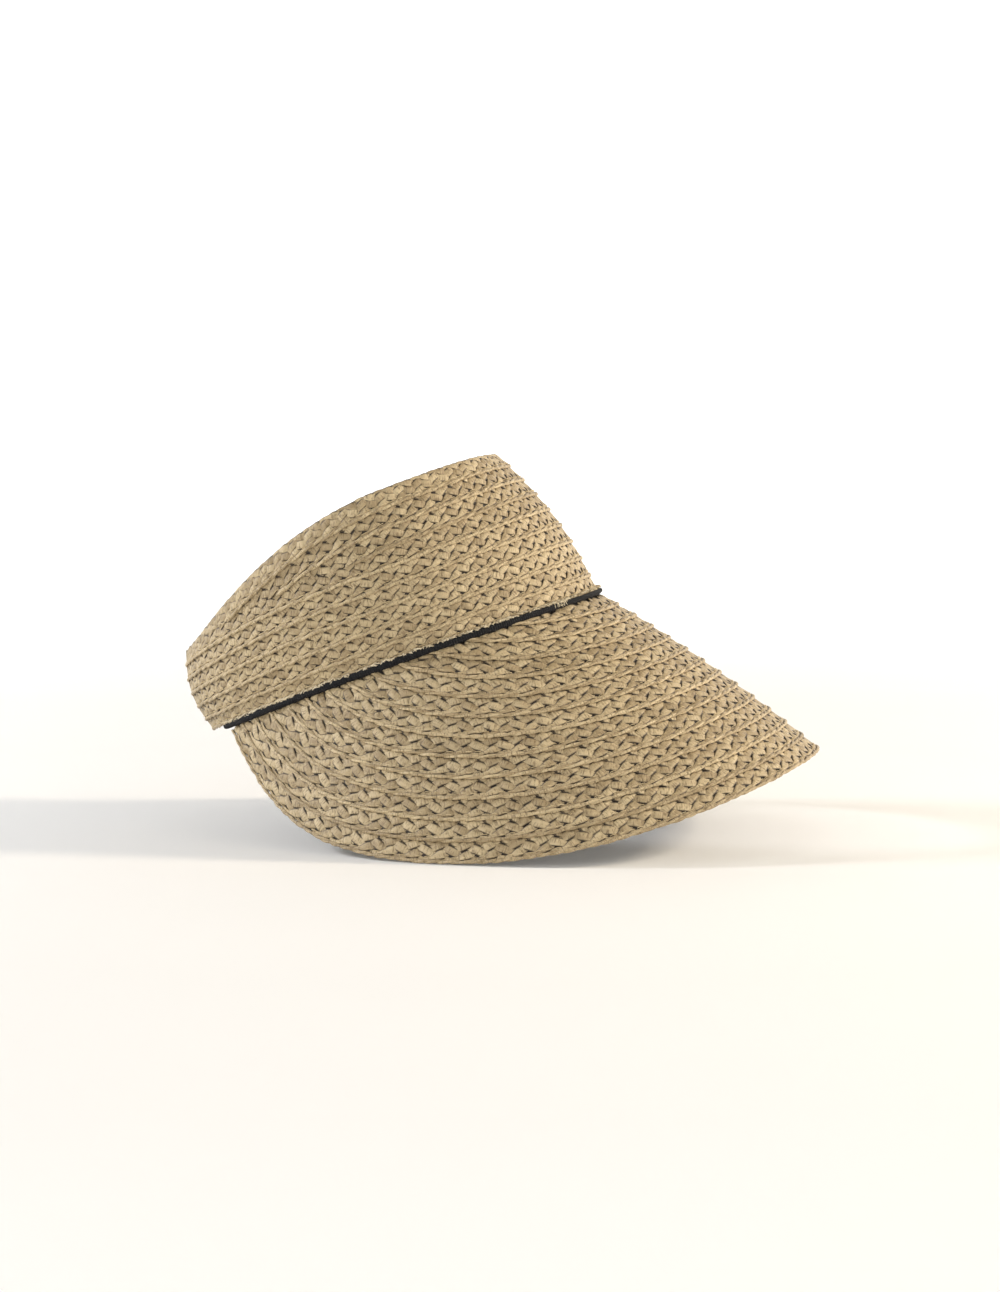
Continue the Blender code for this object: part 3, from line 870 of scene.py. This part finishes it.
    def rim(self, loom: Loom, bed: RowBed, number: int, rng: np.random.Generator,
            phase: float) -> None:
        """Twist one of the two folded edge strands along the row's free edge.

        Args:
            loom: where its tubes go.
            bed: the row's bed.
            number: 0 or 1.
            rng: the row's random numbers.
            phase: where in its turn the row begins, in turns.
        """
        run = np.linspace(0, bed.length, int(bed.length / self.rim_turn * 12) + 1)
        turn = 2 * PI * (run / self.rim_turn + number / 2 + phase)
        turn = turn + 0.5 * waver(run, rng, (0.029, 0.067))
        width = bed.at(run, bed.widths)
        inwards, upwards = self.rim_middle
        reach = self.rim_radius * (inwards + self.rim_spread * np.cos(turn))
        lift = self.edge_lift + self.rim_radius * (upwards + self.rim_spread * np.sin(turn))
        share = (reach + 0.00012 * waver(run, rng, (0.021, 0.047))) / width
        path, side, up = bed.path(run, share, lift)
        radius = self.rim_radius * (1 + 0.12 * waver(run, rng, (0.008, 0.019)))
        wide, tall = self.rim_section
        grid = thread_grid(path, side * wide, up * tall, radius, 8)
        lay = np.broadcast_to([0.0, 0.0, rng.uniform(0, 50)], grid.shape).copy()
        lay[..., 0] = (run / MM)[:, None]
        lay[..., 1] = np.linspace(-1, 1, 8) * self.rim_radius / MM
        # painted shade on the lower side of each turn of the twisted strand
        rise = np.broadcast_to((0.72 + 0.28 * np.sin(turn))[:, None], grid.shape[:2])
        for part in stretches(bed.room(run, share) > 0):
            loom.tube(grid[part], lay[part], rise[part])

    def weave(self, name: str, bed: RowBed, hat: HatForm, seed: int) -> bpy.types.Object:
        """Plait one row and put it in the CAD row's place.

        Args:
            name: the CAD row that it stands for.
            bed: its bed.
            hat: the hat's form.
            seed: of its random numbers.

        Returns:
            The piece.
        """
        rng = np.random.default_rng(seed)
        phase = rng.uniform(0, 10)
        loom = Loom()
        for number in range(self.ribbons):
            self.ribbon(loom, bed, number, rng, phase)
        for number in range(2):
            self.rim(loom, bed, number, rng, phase)
        self.web(loom, bed)
        piece = loom.piece(f"plait_{name}", STRAW, hat)
        place(piece, STRAW, Body.VISOR, name)
        return piece


@dataclass
class Stitching:
    """A line of single stitches of sewing thread, on a bed. Lengths are in metres."""

    pitch: float = 0.0042
    length: float = 0.0031
    radius: float = 0.00016
    lift: float = 0.00105
    share: float = 0.17         # how far across the row the line runs

    def sew(self, loom: Loom, bed: RowBed, seed: int) -> None:
        """Sew one line along a bed.

        Args:
            loom: where the stitches go.
            bed: the bed.
            seed: of the line's random numbers.
        """
        rng = np.random.default_rng(seed)
        bend = np.array([0.0, 0.12, 0.5, 0.88, 1.0])
        rise = np.array([-1.0, 0.35, 1.0, 0.35, -1.0])
        for start in np.arange(self.pitch, bed.length - 2 * self.pitch, self.pitch):
            run = start + bend * self.length
            share = np.full(5, self.share + rng.normal(0, 0.012))
            if bed.room(run, share).min() < 0.001:
                continue
            lift = self.lift + self.radius * (3 * rise - 2)
            path, side, up = bed.path(run, share, lift)
            grid = thread_grid(path, side, up, np.full(5, self.radius))
            lay = np.broadcast_to([start / MM, 0.0, start / MM], grid.shape)
            loom.tube(grid, np.array(lay))


# ---- Sub-assemblies -------------------------------------------------------------------------


@dataclass
class Brim:
    """The brim: rows of braid that keep their distance from its outer edge."""

    hat: HatForm
    plait: Plait = field(default_factory=lambda: Plait(step=0.0060))
    tuck: float = 0.0006        # how near the ring the rows reach, under the seam's tape

    def beds(self) -> list[RowBed]:
        """Return the bed of each row, the outermost first."""
        hat = self.hat
        starts = [row * hat.brim_pitch for row in range(hat.brim_rows)]
        stops = [start + hat.brim_pitch + hat.lap for start in starts]
        order = sorted(starts + stops)
        curves = dict(zip(order, hat.brim_curves(order)))
        shown = hat.brim_pitch / (hat.brim_pitch + hat.lap)
        beds = []
        for start, stop in zip(starts, stops):
            inside = curves[start][1] > 0
            middle = len(inside) // 2
            first = middle - int(np.argmin(inside[middle::-1]))
            last = middle + int(np.argmin(inside[middle:]))
            free, covered = ((angle[first + 1:last], out[first + 1:last])
                             for angle, out in (curves[start], curves[stop]))
            beds.append(RowBed(hat.brim_point, free, covered, np.full_like(free[0], self.tuck),
                               hat.thickness, hat.sewn_depth, shown + 0 * free[0]))
        return beds

    def build(self) -> None:
        """Plait every row and sew it down."""
        loom = Loom()
        for number, bed in enumerate(self.beds(), 1):
            self.plait.weave(f"brim_braid_{number:02d}", bed, self.hat, 100 + number)
            Stitching().sew(loom, bed, 150 + number)
        piece = loom.piece("brim_stitching", STRAW_THREAD, self.hat)
        place(piece, STRAW_THREAD, Body.VISOR)


@dataclass
class Crown:
    """The open crown: six rows all round and three above them that run out at the back."""

    hat: HatForm
    plait: Plait = field(default_factory=lambda: Plait(step=0.0048, half_width=0.0020))
    tuck: float = 0.0016        # how far the upper rows' cut ends lie over the sixth row

    def beds(self) -> list[RowBed]:
        """Return the bed of each row, the lowest first."""
        hat = self.hat
        angles = np.linspace(-hat.end_angle, hat.end_angle, hat.stations)
        lower, top = hat.lower_height(angles), hat.crown_height(angles)
        edges = []
        for row in range(hat.lower_rows):
            start = lower * 0 + hat.seam_room if row == 0 else lower * row / hat.lower_rows
            last = row == hat.lower_rows - 1
            lap = np.minimum(hat.lap, 0.8 * (top - lower)) if last else hat.lap
            pitch = lower / hat.lower_rows
            shown = None if last else pitch / (pitch + hat.lap)
            edges.append((start, lower * (row + 1) / hat.lower_rows + lap, start * 0, shown))
        for row in range(hat.upper_rows):
            start = top - (hat.upper_rows - row) * hat.upper_pitch
            last = row == hat.upper_rows - 1
            lap = 0 if last else hat.lap
            shown = None if last else start * 0 + hat.upper_pitch / (hat.upper_pitch + hat.lap)
            edges.append((start, start + hat.upper_pitch + lap, lower - self.tuck, shown))
        return [RowBed(hat.crown_point, (angles, low), (angles, high), least, hat.thickness,
                       hat.sewn_depth, shown) for low, high, least, shown in edges]

    def build(self) -> None:
        """Plait every row and sew it down."""
        loom = Loom()
        for number, bed in enumerate(self.beds(), 1):
            self.plait.weave(f"crown_braid_{number:02d}", bed, self.hat, 200 + number)
            Stitching(lift=0.00115).sew(loom, bed, 250 + number)
        piece = loom.piece("crown_stitching", STRAW_THREAD, self.hat)
        place(piece, STRAW_THREAD, Body.VISOR)


@dataclass
class SeamBinding:
    """The black tape rolled into the seam, and the frayed paper that sticks out above it."""

    hat: HatForm
    end_angle: float = 146.0
    half_height: float = 0.0013
    more_height: float = 0.0005  # at the sides, where it is plumper
    proud: float = 0.0028
    depth: float = 0.0026
    tufts: int = 800
    squareness: float = 0.7     # of the tape's rolled edges, 1 being round
    thick_tuft_angle: float = 29.5      # degrees, where a clump of long tufts hides the tape
    thick_tuft_spread: float = 0.022    # radians
    thick_tufts: int = 36

    def build(self) -> None:
        """Build the tape and its fringe."""
        hat = self.hat
        angles = np.radians(np.linspace(-self.end_angle, self.end_angle, 320))
        rng = np.random.default_rng(31)
        run = angles * (hat.half_length + hat.half_width) / 2
        half = self.half_height + self.more_height * smooth(2.2 * np.sin(np.abs(angles)) - 0.9)
        half = half * (1 + 0.02 * waver(run, rng, (0.033, 0.071)))
        proud = self.proud * (0.75 + 0.25 * half / half.max())
        turn = np.linspace(0, 2 * PI, 14, endpoint=False)
        up = signed_power(np.sin(turn), self.squareness) * half[:, None]
        out = np.cos(turn)
        depth = np.where(out > 0, -proud[:, None] * out, -self.depth * out)
        grid = hat.crown_point(np.broadcast_to(angles[:, None], up.shape), up, depth)
        lay = np.stack(np.broadcast_arrays(run[:, None] / MM, 4 * turn, 1.0), -1)
        loom = Loom()
        loom.tube(grid, lay)
        piece = loom.piece("seam_tape", GROSGRAIN, hat)
        place(piece, GROSGRAIN, Body.VISOR, "seam_binding")
        self.fringe(rng)

    def fringe(self, rng: np.random.Generator) -> None:
        """Fray the crown's lower edge: short slivers of paper that lie over the tape's top.

        Args:
            rng: the seam's random numbers.
        """
        hat = self.hat
        loom = Loom()
        end = math.radians(self.end_angle)
        angles = rng.uniform(-end, end, self.tufts)
        thick = rng.normal(0, self.thick_tuft_spread, self.thick_tufts)
        thick = math.radians(self.thick_tuft_angle) + thick
        share = np.linspace(0, 1, 5)
        for number, angle in enumerate(np.concatenate([angles, thick])):
            thick_tuft = number >= self.tufts
            reach = rng.uniform(0.0024, 0.0036) if thick_tuft else rng.uniform(0.0007, 0.0014)
            slant = rng.normal(0, 0.0012)
            top = hat.seam_room + rng.uniform(0.0004, 0.0012)
            sag = rng.uniform(-0.0004, 0.0004)
            height = top - reach * share
            bend = angle + (slant * share + sag * np.sin(PI * share)) / hat.half_width
            depth = -0.0006 - 0.0019 * smooth(1.6 * share) + rng.uniform(-0.0002, 0.0002)
            path = hat.crown_point(bend, height, depth)
            out = hat.ring(bend)[1]
            side = unit(np.cross(np.gradient(path, axis=0), out))
            width = rng.uniform(0.00012, 0.00030) * (1 - 0.75 * share ** 2)
            grid = thread_grid(path, side * 1.5, out * 0.5, width, 4)
            lay = np.broadcast_to([0.0, 0.0, number * 1.7], grid.shape).copy()
            lay[..., 0] = (share * reach / MM)[:, None]
            loom.tube(grid, lay)
        piece = loom.piece("seam_fringe", FRAYED_PAPER, hat)
        place(piece, FRAYED_PAPER, Body.VISOR)


@dataclass
class EndBindings:
    """A natural tape folded over each of the crown's two cut ends."""

    hat: HatForm
    tape: float = 0.00045       # its thickness
    inner_leg: float = 0.006
    fold_depth: float = 0.0016  # of the round fold past the cut end
    outer_legs: tuple[float, float] = (0.0012, 0.0012)

    def profile(self, outer_leg: float) -> Points:
        """Return the folded tape's outline: distance past the cut end, and depth."""
        hat = self.hat
        out, back = -hat.end_tape_proud, hat.wall + hat.end_tape_proud
        tip = hat.end_tape
        bend = np.linspace(PI / 2, -PI / 2, 9)
        middle, half = (out + back) / 2, (back - out) / 2
        outside = np.stack([tip - self.fold_depth + self.fold_depth * np.cos(bend),
                            middle - half * np.sin(bend)], 1)
        inside = outside[::-1].copy()
        inside[:, 0] -= self.tape * np.cos(bend[::-1])
        inside[:, 1] = middle + (inside[:, 1] - middle) * (1 - self.tape / half)
        legs = np.array([[-outer_leg, out], [-outer_leg / 2, out]])
        inner = np.array([[-self.inner_leg / 2, back], [-self.inner_leg, back],
                          [-self.inner_leg, back - self.tape],
                          [-self.inner_leg / 2, back - self.tape]])
        close = np.array([[-outer_leg / 2, out + self.tape], [-outer_leg, out + self.tape]])
        return np.concatenate([legs, outside, inner, inside, close])

    def build(self) -> None:
        """Fold a tape over each end."""
        hat = self.hat
        near = hat.end_angle + hat.gap / hat.half_width
        height = np.linspace(hat.seam_room - hat.gap, hat.lower_heights[2] + 2 * hat.gap, 40)
        for side, leg, node in ((1, self.outer_legs[0], "end_binding_right"),
                                (-1, self.outer_legs[1], "end_binding_left")):
            rng = np.random.default_rng(41 + side)
            outline = self.profile(leg)
            past, depth = outline[:, 0], outline[:, 1]
            ease = 0.00012 * waver(height, rng, (0.007, 0.019))[:, None]
            angle = side * (near + (past + ease * (past > 0)) / hat.half_width)
            tall = np.broadcast_to(height[:, None], angle.shape)
            grid = hat.crown_point(angle, tall, np.broadcast_to(depth, angle.shape))
            length = np.concatenate([[0], np.cumsum(np.hypot(np.diff(past), np.diff(depth)))])
            lay = np.stack(np.broadcast_arrays(height[:, None] / MM, length / MM, 2.0), -1)
            loom = Loom()
            loom.tube(grid, lay)
            piece = loom.piece(f"folded_{node}", NATURAL_TAPE, hat)
            place(piece, NATURAL_TAPE, Body.VISOR, node)


@dataclass
class WallPatch:
    """A flat strip of cloth or tape that lies along the crown's wall. Lengths are in metres."""

    hat: HatForm
    start: float                # angles in radians
    end: float
    low: float                  # heights up the wall
    high: float
    thickness: float
    ripple: float = 0.0
    rounding: float = 0.0       # of its two corners at the far end
    stations: int = 160
    rows: int = 10

    def grid(self, depth: Callable[[Points], Points], seed: int) -> tuple[Points, Points]:
        """Lay the strip at a depth that may change along it.

        Args:
            depth: the depth of its outer face at each angle.
            seed: of its ripple.

        Returns:
            The points of its tube and their "lay".
        """
        angle = np.linspace(self.start, self.end, self.stations)
        run = (angle - self.start) * self.hat.half_width
        middle, half = (self.low + self.high) / 2, (self.high - self.low) / 2
        narrow = half
        if self.rounding:
            past = np.clip((run - run[-1] + self.rounding) / self.rounding, 0, 1)
            narrow = half - self.rounding * (1 - np.sqrt(1 - 0.98 * past ** 2))
        narrow = np.broadcast_to(narrow, run.shape)
        across = np.linspace(-1, 1, self.rows)
        ripple = self.ripple * waver(run, np.random.default_rng(seed), (0.03, 0.075))
        outer = depth(angle)[:, None] + ripple[:, None] * (0.4 + 0.6 * (across + 1) / 2)
        edge = self.thickness * 0.32 * np.abs(across) ** 12
        inner = outer + self.thickness - edge
        height = middle + across * narrow[:, None]
        heights = np.concatenate([height, height[:, ::-1]], 1)
        depths = np.concatenate([outer + edge, inner[:, ::-1]], 1)
        angles = np.broadcast_to(angle[:, None], heights.shape)
        grid = self.hat.crown_point(angles, heights, depths)
        lay = np.stack(np.broadcast_arrays(run[:, None] / MM, (heights - self.low) / MM, seed),
                       -1)
        return grid, lay

    def bed(self, depth: Callable[[Points], Points], face: Face) -> RowBed:
        """Return a bed for stitches on one face of the strip."""
        angle = np.linspace(self.start, self.end, self.stations)
        outer = depth(angle)
        skin = outer if face is Face.OUTER else outer + self.thickness

        def surface(angles: Points, heights: Points, lift: Points) -> Points:
            """Return points at a lift above the chosen face."""
            at = np.interp(angles, angle, skin)
            return self.hat.crown_point(angles, heights, at - face.value * lift)

        low, high = (np.full_like(angle, edge) for edge in (self.low, self.high))
        return RowBed(surface, (angle, low), (angle, high), low * 0 - 1.0, 0.0, 0.0)


@dataclass
class Sweatband:
    """The twill band inside the crown, topstitched along both edges, and its blank label."""

    hat: HatForm
    height: float = 0.032
    thickness: float = 0.0012
    root_length: float = 0.022
    room: float = 0.0025
    label_size: tuple[float, float] = (0.022, 0.016)
    label_thickness: float = 0.0005
    label_angle: float = 218.0

    def build(self) -> None:
        """Build the band and the label."""
        hat = self.hat
        end = hat.end_angle - (self.root_length + self.room) / hat.half_width
        depth = hat.wall + hat.gap
        low = hat.seam_room
        band = WallPatch(hat, -end, end, low, low + self.height, self.thickness,
                         ripple=0.00018, stations=300, rows=14)
        loom = Loom()
        loom.tube(*band.grid(lambda angle: np.full_like(angle, depth), 51))
        piece = loom.piece("twill_sweatband", TWILL, hat)
        place(piece, TWILL, Body.VISOR, "sweatband")
        bed = band.bed(lambda angle: np.full_like(angle, depth), Face.INNER)
        seams = Loom()
        for share in (0.08, 0.92):
            line = Stitching(pitch=0.0030, length=0.0023, radius=0.00018, lift=0.0004, share=share)
            line.sew(seams, bed, int(share * 100))
        piece = seams.piece("sweatband_stitching", BLACK_THREAD, hat)
        place(piece, BLACK_THREAD, Body.VISOR)
        self.label(depth + self.thickness)

    def label(self, depth: float) -> None:
        """Sew the blank label onto the band.

        Args:
            depth: of the band's inner face.
        """
        hat = self.hat
        wide, tall = self.label_size
        half = wide / 2 / hat.half_length
        centre = math.radians(self.label_angle)
        middle = hat.seam_room + self.height / 2
        patch = WallPatch(hat, centre - half, centre + half, middle - tall / 2,
                          middle + tall / 2, self.label_thickness, stations=40, rows=12)

        def level(angle: Points) -> Points:
            """Return the label's depth, which rises a little from its two sewn ends."""
            across = (angle - centre) / half
            return depth + 2 * hat.gap + 0.00035 * (1 - across ** 2)

        loom = Loom()
        loom.tube(*patch.grid(level, 52))
        piece = loom.piece("blank_label", SATIN, hat)
        place(piece, SATIN, Body.VISOR, "care_label")


@dataclass
class Closure:
    """The strap over the back opening, with its hook and loop."""

    hat: HatForm
    width: float = 0.025
    root_length: float = 0.022
    tab_length: float = 0.060
    tape_width: float = 0.021
    tape_length: float = 0.040
    tape_end: float = 0.002     # from the tape to the strap's free end
    backing: float = 0.00035    # thickness of each tape's ground
    bend: float = 0.005         # each side of the hinge; the webbing is not bent over it
    hook_pitch: float = 0.0013
    hook_margin: float = 0.0016
    loops: int = 1500
    loop_sizes: tuple[float, float] = (0.00030, 0.00050)    # half of each loop's width
    loop_margin: float = 0.0008
    loop_radius: float = 0.00006    # of its fibre

    def __post_init__(self) -> None:
        """Work out where the strap and its tapes lie."""
        hat = self.hat
        self.middle = hat.lower_heights[2] / 2
        self.root = hat.end_angle - self.root_length / hat.half_width
        self.end = hat.hinge_angle + self.tab_length / hat.half_width
        self.tape_stop = self.end - self.tape_end / hat.half_width
        self.tape_start = self.tape_stop - self.tape_length / hat.half_width
        self.tape_depth = hat.strap_thickness + hat.gap

    def patch(self, start: float, end: float, width: float, thickness: float, **more: object
              ) -> WallPatch:
        """Return a strip centred on the strap."""
        low, high = self.middle - width / 2, self.middle + width / 2
        return WallPatch(self.hat, start, end, low, high, thickness, **more)

    def build(self) -> None:
        """Build the webbing, its stitching and both tapes."""
        hat = self.hat
        strap = self.patch(self.root, self.end, self.width, hat.strap_thickness,
                           rounding=0.006, stations=120, rows=12)
        loom = Loom()
        loom.tube(*strap.grid(hat.strap_depth, 61))
        webbing = loom.piece("webbing_strap", WEBBING, hat)
        self.bend_at_hinge(webbing)
        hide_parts("strap_root", "strap_tab")
        seams = Loom()
        tab = self.patch(self.tape_start, self.tape_stop, self.tape_width, hat.strap_thickness,
                         stations=60)
        bed = tab.bed(hat.strap_depth, Face.OUTER)
        for share in (0.08, 0.92):
            line = Stitching(pitch=0.0030, length=0.0022, radius=0.00017, lift=0.0004, share=share)
            line.sew(seams, bed, int(share * 100))
        place(seams.piece("tab_stitching", BLACK_THREAD, hat), BLACK_THREAD, Body.TAB)
        self.hooks()
        self.pile()

    def bend_at_hinge(self, piece: bpy.types.Object) -> None:
        """Bake the piece's place into its mesh; the hinge's two ends are worked out but not used."""
        hat = self.hat
        turn = self.bend / hat.half_width
        angles = np.array([hat.hinge_angle - turn, hat.hinge_angle + turn])
        places = hat.crown_point(angles, np.full(2, self.middle), hat.strap_depth(angles))
        start, end = hat.to_row(places)
        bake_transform(piece)

    def hooks(self) -> None:
        """Mould the hook tape: a thin ground with rows of small bent hooks."""
        hat = self.hat
        depth = self.tape_depth - 0.8 * hat.gap
        ground = self.patch(self.tape_start, self.tape_stop, self.tape_width, self.backing,
                            stations=40)
        loom = Loom()
        loom.tube(*ground.grid(lambda angle: hat.strap_depth(angle) + depth, 62))
        rise = np.array([0.0, 0.35, 0.62, 0.70, 0.55]) * MM
        lean = np.array([0.0, 0.02, 0.12, 0.32, 0.46]) * MM
        radius = np.array([0.20, 0.16, 0.13, 0.12, 0.09]) * MM
        margin = self.hook_margin
        runs = np.arange(margin, self.tape_length - margin, self.hook_pitch)
        heights = np.arange(margin, self.tape_width - margin, self.hook_pitch)
        for column, run in enumerate(runs):
            way = 1 if column % 2 else -1
            for height in heights:
                angle = self.tape_start + (run + way * lean) / hat.half_width
                tall = np.full(5, self.middle - self.tape_width / 2 + height)
                level = hat.strap_depth(angle) + depth + self.backing * 0.9
                path = hat.crown_point(angle, tall, level + rise)
                along = unit(np.gradient(path, axis=0))
                up = np.broadcast_to([0.0, 0.0, 1.0], path.shape)
                grid = thread_grid(path, unit(np.cross(along, up)), up, radius, 5)
                lay = np.broadcast_to([run / MM, height / MM, 3.0], grid.shape)
                loom.tube(grid, np.array(lay))
        place(loom.piece("moulded_hook_tape", HOOK_NYLON, hat), HOOK_NYLON, Body.TAB, "hook_tape")

    def pile(self) -> None:
        """Build the loop tape: a ground on the crown with a pile of fine loops."""
        hat = self.hat
        depth = self.tape_depth + hat.fastener_thickness + hat.gap
        face = depth + hat.fastener_thickness - self.backing
        ground = self.patch(self.tape_start, self.tape_stop, self.tape_width, self.backing,
                            stations=40)
        loom = Loom()
        loom.tube(*ground.grid(lambda angle: hat.strap_depth(angle) + face, 63))
        rng = np.random.default_rng(64)
        arc = np.linspace(0, PI, 7)
        for number in range(self.loops):
            turn, size = rng.uniform(0, 2 * PI), rng.uniform(*self.loop_sizes)
            run = rng.uniform(self.loop_margin, self.tape_length - self.loop_margin)
            height = rng.uniform(self.loop_margin, self.tape_width - self.loop_margin)
            sweep = size * np.cos(arc)
            angle = self.tape_start + (run + sweep * math.cos(turn)) / hat.half_width
            tall = self.middle - self.tape_width / 2 + height + sweep * math.sin(turn)
            level = hat.strap_depth(angle) + face + 0.00005 - size * np.sin(arc)
            path = hat.crown_point(angle, tall, level)
            along = unit(np.gradient(path, axis=0))
            out = hat.ring(angle)[1]
            side = unit(np.cross(along, out + 1e-3))
            up = unit(np.cross(side, along))
            grid = thread_grid(path, side, up, np.full(7, self.loop_radius), 4)
            lay = np.broadcast_to([run / MM, height / MM, number * 1.3], grid.shape)
            loom.tube(grid, np.array(lay))
        place(loom.piece("brushed_loop_tape", LOOP_NYLON, hat), LOOP_NYLON, Body.VISOR,
              "loop_tape")


# ---- Studio ---------------------------------------------------------------------------------


@dataclass(frozen=True)
class SoftLamp:
    """A soft square lamp, hung beside and above the hat as the camera sees it."""

    name: str
    right: float                # metres
    back: float                 # towards the camera
    up: float
    size: float                 # its side
    watts: float
    colour: str                 # its light, as sRGB hex


@dataclass
class Studio:
    """A pale paper floor that sweeps up into a round wall, soft lamps and the camera."""

    hat: HatForm
    floor_drop: float = 0.0007  # the brim's edge strands hang this far below its rows
    near: tuple[float, float] = (0.3, 1.5)   # radius of the dimmer middle, width of its edge
    floor_radius: float = 2.4
    sweep_radius: float = 1.2
    wall_height: float = 3.2
    azimuth: float = -80.0
    elevation: float = 4.8
    distance: float = 1.5
    lens: float = 85.8
    aim: tuple[float, float] = (0.0266, 0.0067)  # right and up from the middle of the ring
    aim_back: float = 0.020     # from the ring's middle towards the front
    lamps: tuple[SoftLamp, ...] = (SoftLamp("key", 1.30, 0.08, 0.62, 0.20, 15.0, "#FFEFD8"),
                                   SoftLamp("fill", -1.25, 0.0, 0.66, 0.22, 10.0, "#F4F6FF"))
    top_lamp: tuple[float, float, float] = (2.0, 1.2, 2.0)  # its height, side and watts
    world_strength: float = 0.03

    def directions(self) -> tuple[Vector, Vector, Vector]:
        """Return the camera's right, up and back directions."""
        az, el = math.radians(self.azimuth), math.radians(self.elevation)
        back = Vector((math.sin(az) * math.cos(el), -math.cos(az) * math.cos(el), math.sin(el)))
        right = Vector((0.0, 0.0, 1.0)).cross(back).normalized()
        return right, back.cross(right), back

    def lamp(self, name: str, place_at: Vector, target: Vector, size: float, watts: float,
             colour: str) -> None:
        """Hang one soft square lamp.

        Args:
            name: the lamp's name.
            place_at: where it hangs.
            target: what it is turned to.
            size: its side in metres.
            watts: its power.
            colour: its light, as sRGB hex.
        """
        light = bpy.data.lights.new(name, "AREA")
        light.shape = "SQUARE"
        light.size = size
        light.energy = watts
        light.color = linear(colour)[:3]
        lamp = bpy.data.objects.new(name, light)
        lamp.location = place_at
        lamp.rotation_euler = (target - place_at).to_track_quat("-Z", "Y").to_euler()
        bpy.context.scene.collection.objects.link(lamp)

    def floor(self) -> None:
        """Lay the floor and its sweep, one turned sheet."""
        turn = np.linspace(0, PI / 2, 13)
        flat = np.linspace(0, self.floor_radius, 13)[:-1]
        radii = [*flat, *(self.floor_radius + self.sweep_radius * np.sin(turn))]
        unshaded_shares = [*(0 * flat), *(self.sweep_radius * (1 - np.cos(turn)))]
        radii.append(radii[-1])
        unshaded_shares.append(self.wall_height)
        angle = np.linspace(0, 2 * PI, 96, endpoint=False)
        points = [(r * math.cos(a), r * math.sin(a), z - self.floor_drop)
                  for r, z in zip(radii[1:], unshaded_shares[1:]) for a in angle]
        points.append((0.0, 0.0, -self.floor_drop))
        around_it = len(angle)
        faces = [(len(points) - 1, i, (i + 1) % around_it) for i in range(around_it)]
        for ring in range(len(radii) - 2):
            for i in range(around_it):
                j = (i + 1) % around_it
                low, high = ring * around_it, (ring + 1) * around_it
                faces.append((low + i, high + i, high + j, low + j))
        mesh = bpy.data.meshes.new("studio_floor")
        mesh.from_pydata(points, [], faces)
        rise = smooth((np.hypot(*np.array(points)[:, :2].T) - self.near[0]) / self.near[1])
        mesh.attributes.new("rise", "FLOAT", "POINT").data.foreach_set("value", rise)
        mesh.shade_smooth()
        mesh.materials.append(PAPER.material())
        floor = bpy.data.objects.new("studio_floor", mesh)
        bpy.context.scene.collection.objects.link(floor)

    def camera(self) -> None:
        """Set up the camera and make it the scene's."""
        right, up, back = self.directions()
        middle = Vector(self.hat.to_row(np.zeros(3)))
        target = middle - Vector((0.0, self.aim_back, 0.0))
        target = target + right * self.aim[0] + up * self.aim[1]
        lens = bpy.data.cameras.new("studio_camera")
        lens.lens = self.lens
        camera = bpy.data.objects.new("studio_camera", lens)
        camera.location = target + back * self.distance
        camera.rotation_euler = (-back).to_track_quat("-Z", "Y").to_euler()
        bpy.context.scene.collection.objects.link(camera)
        bpy.context.scene.camera = camera

    def build(self) -> None:
        """Set up the floor, lamps, world and camera."""
        self.floor()
        right, up, back = self.directions()
        middle = Vector(self.hat.to_row(np.zeros(3)))
        for kind in self.lamps:
            spot = middle + right * kind.right + back * kind.back + up * kind.up
            self.lamp(kind.name, spot, middle, kind.size, kind.watts, kind.colour)
        height, size, watts = self.top_lamp
        self.lamp("top", middle + Vector((0.0, 0.0, height)), middle, size, watts, "#FFFFFF")
        world = bpy.data.worlds.new("studio_world")
        world.use_nodes = True
        background = world.node_tree.nodes["Background"]
        background.inputs["Color"].default_value = linear("#FFFFFF")
        background.inputs["Strength"].default_value = self.world_strength
        bpy.context.scene.world = world
        bpy.context.scene.view_settings.view_transform = "Standard"
        self.camera()


with open("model.json") as file:
    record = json.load(file)
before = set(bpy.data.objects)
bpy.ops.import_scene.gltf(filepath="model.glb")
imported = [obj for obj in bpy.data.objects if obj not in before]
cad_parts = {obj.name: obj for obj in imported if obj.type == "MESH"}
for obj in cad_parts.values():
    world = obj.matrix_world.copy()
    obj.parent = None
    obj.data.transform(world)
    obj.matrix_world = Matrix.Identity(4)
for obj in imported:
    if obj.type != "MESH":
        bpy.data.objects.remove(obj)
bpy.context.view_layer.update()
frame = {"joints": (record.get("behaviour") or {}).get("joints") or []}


def main() -> None:
    """Build the visor's looks in the order it is sewn, then the studio."""
    logging.basicConfig(level=logging.INFO, format="%(name)s: %(message)s")
    hat = HatForm()
    for part in (Brim(hat), Crown(hat), SeamBinding(hat), EndBindings(hat), Sweatband(hat),
                 Closure(hat), Studio(hat)):
        part.build()
        LOG.info("built %s", type(part).__name__)


if __name__ == "__main__":
    main()
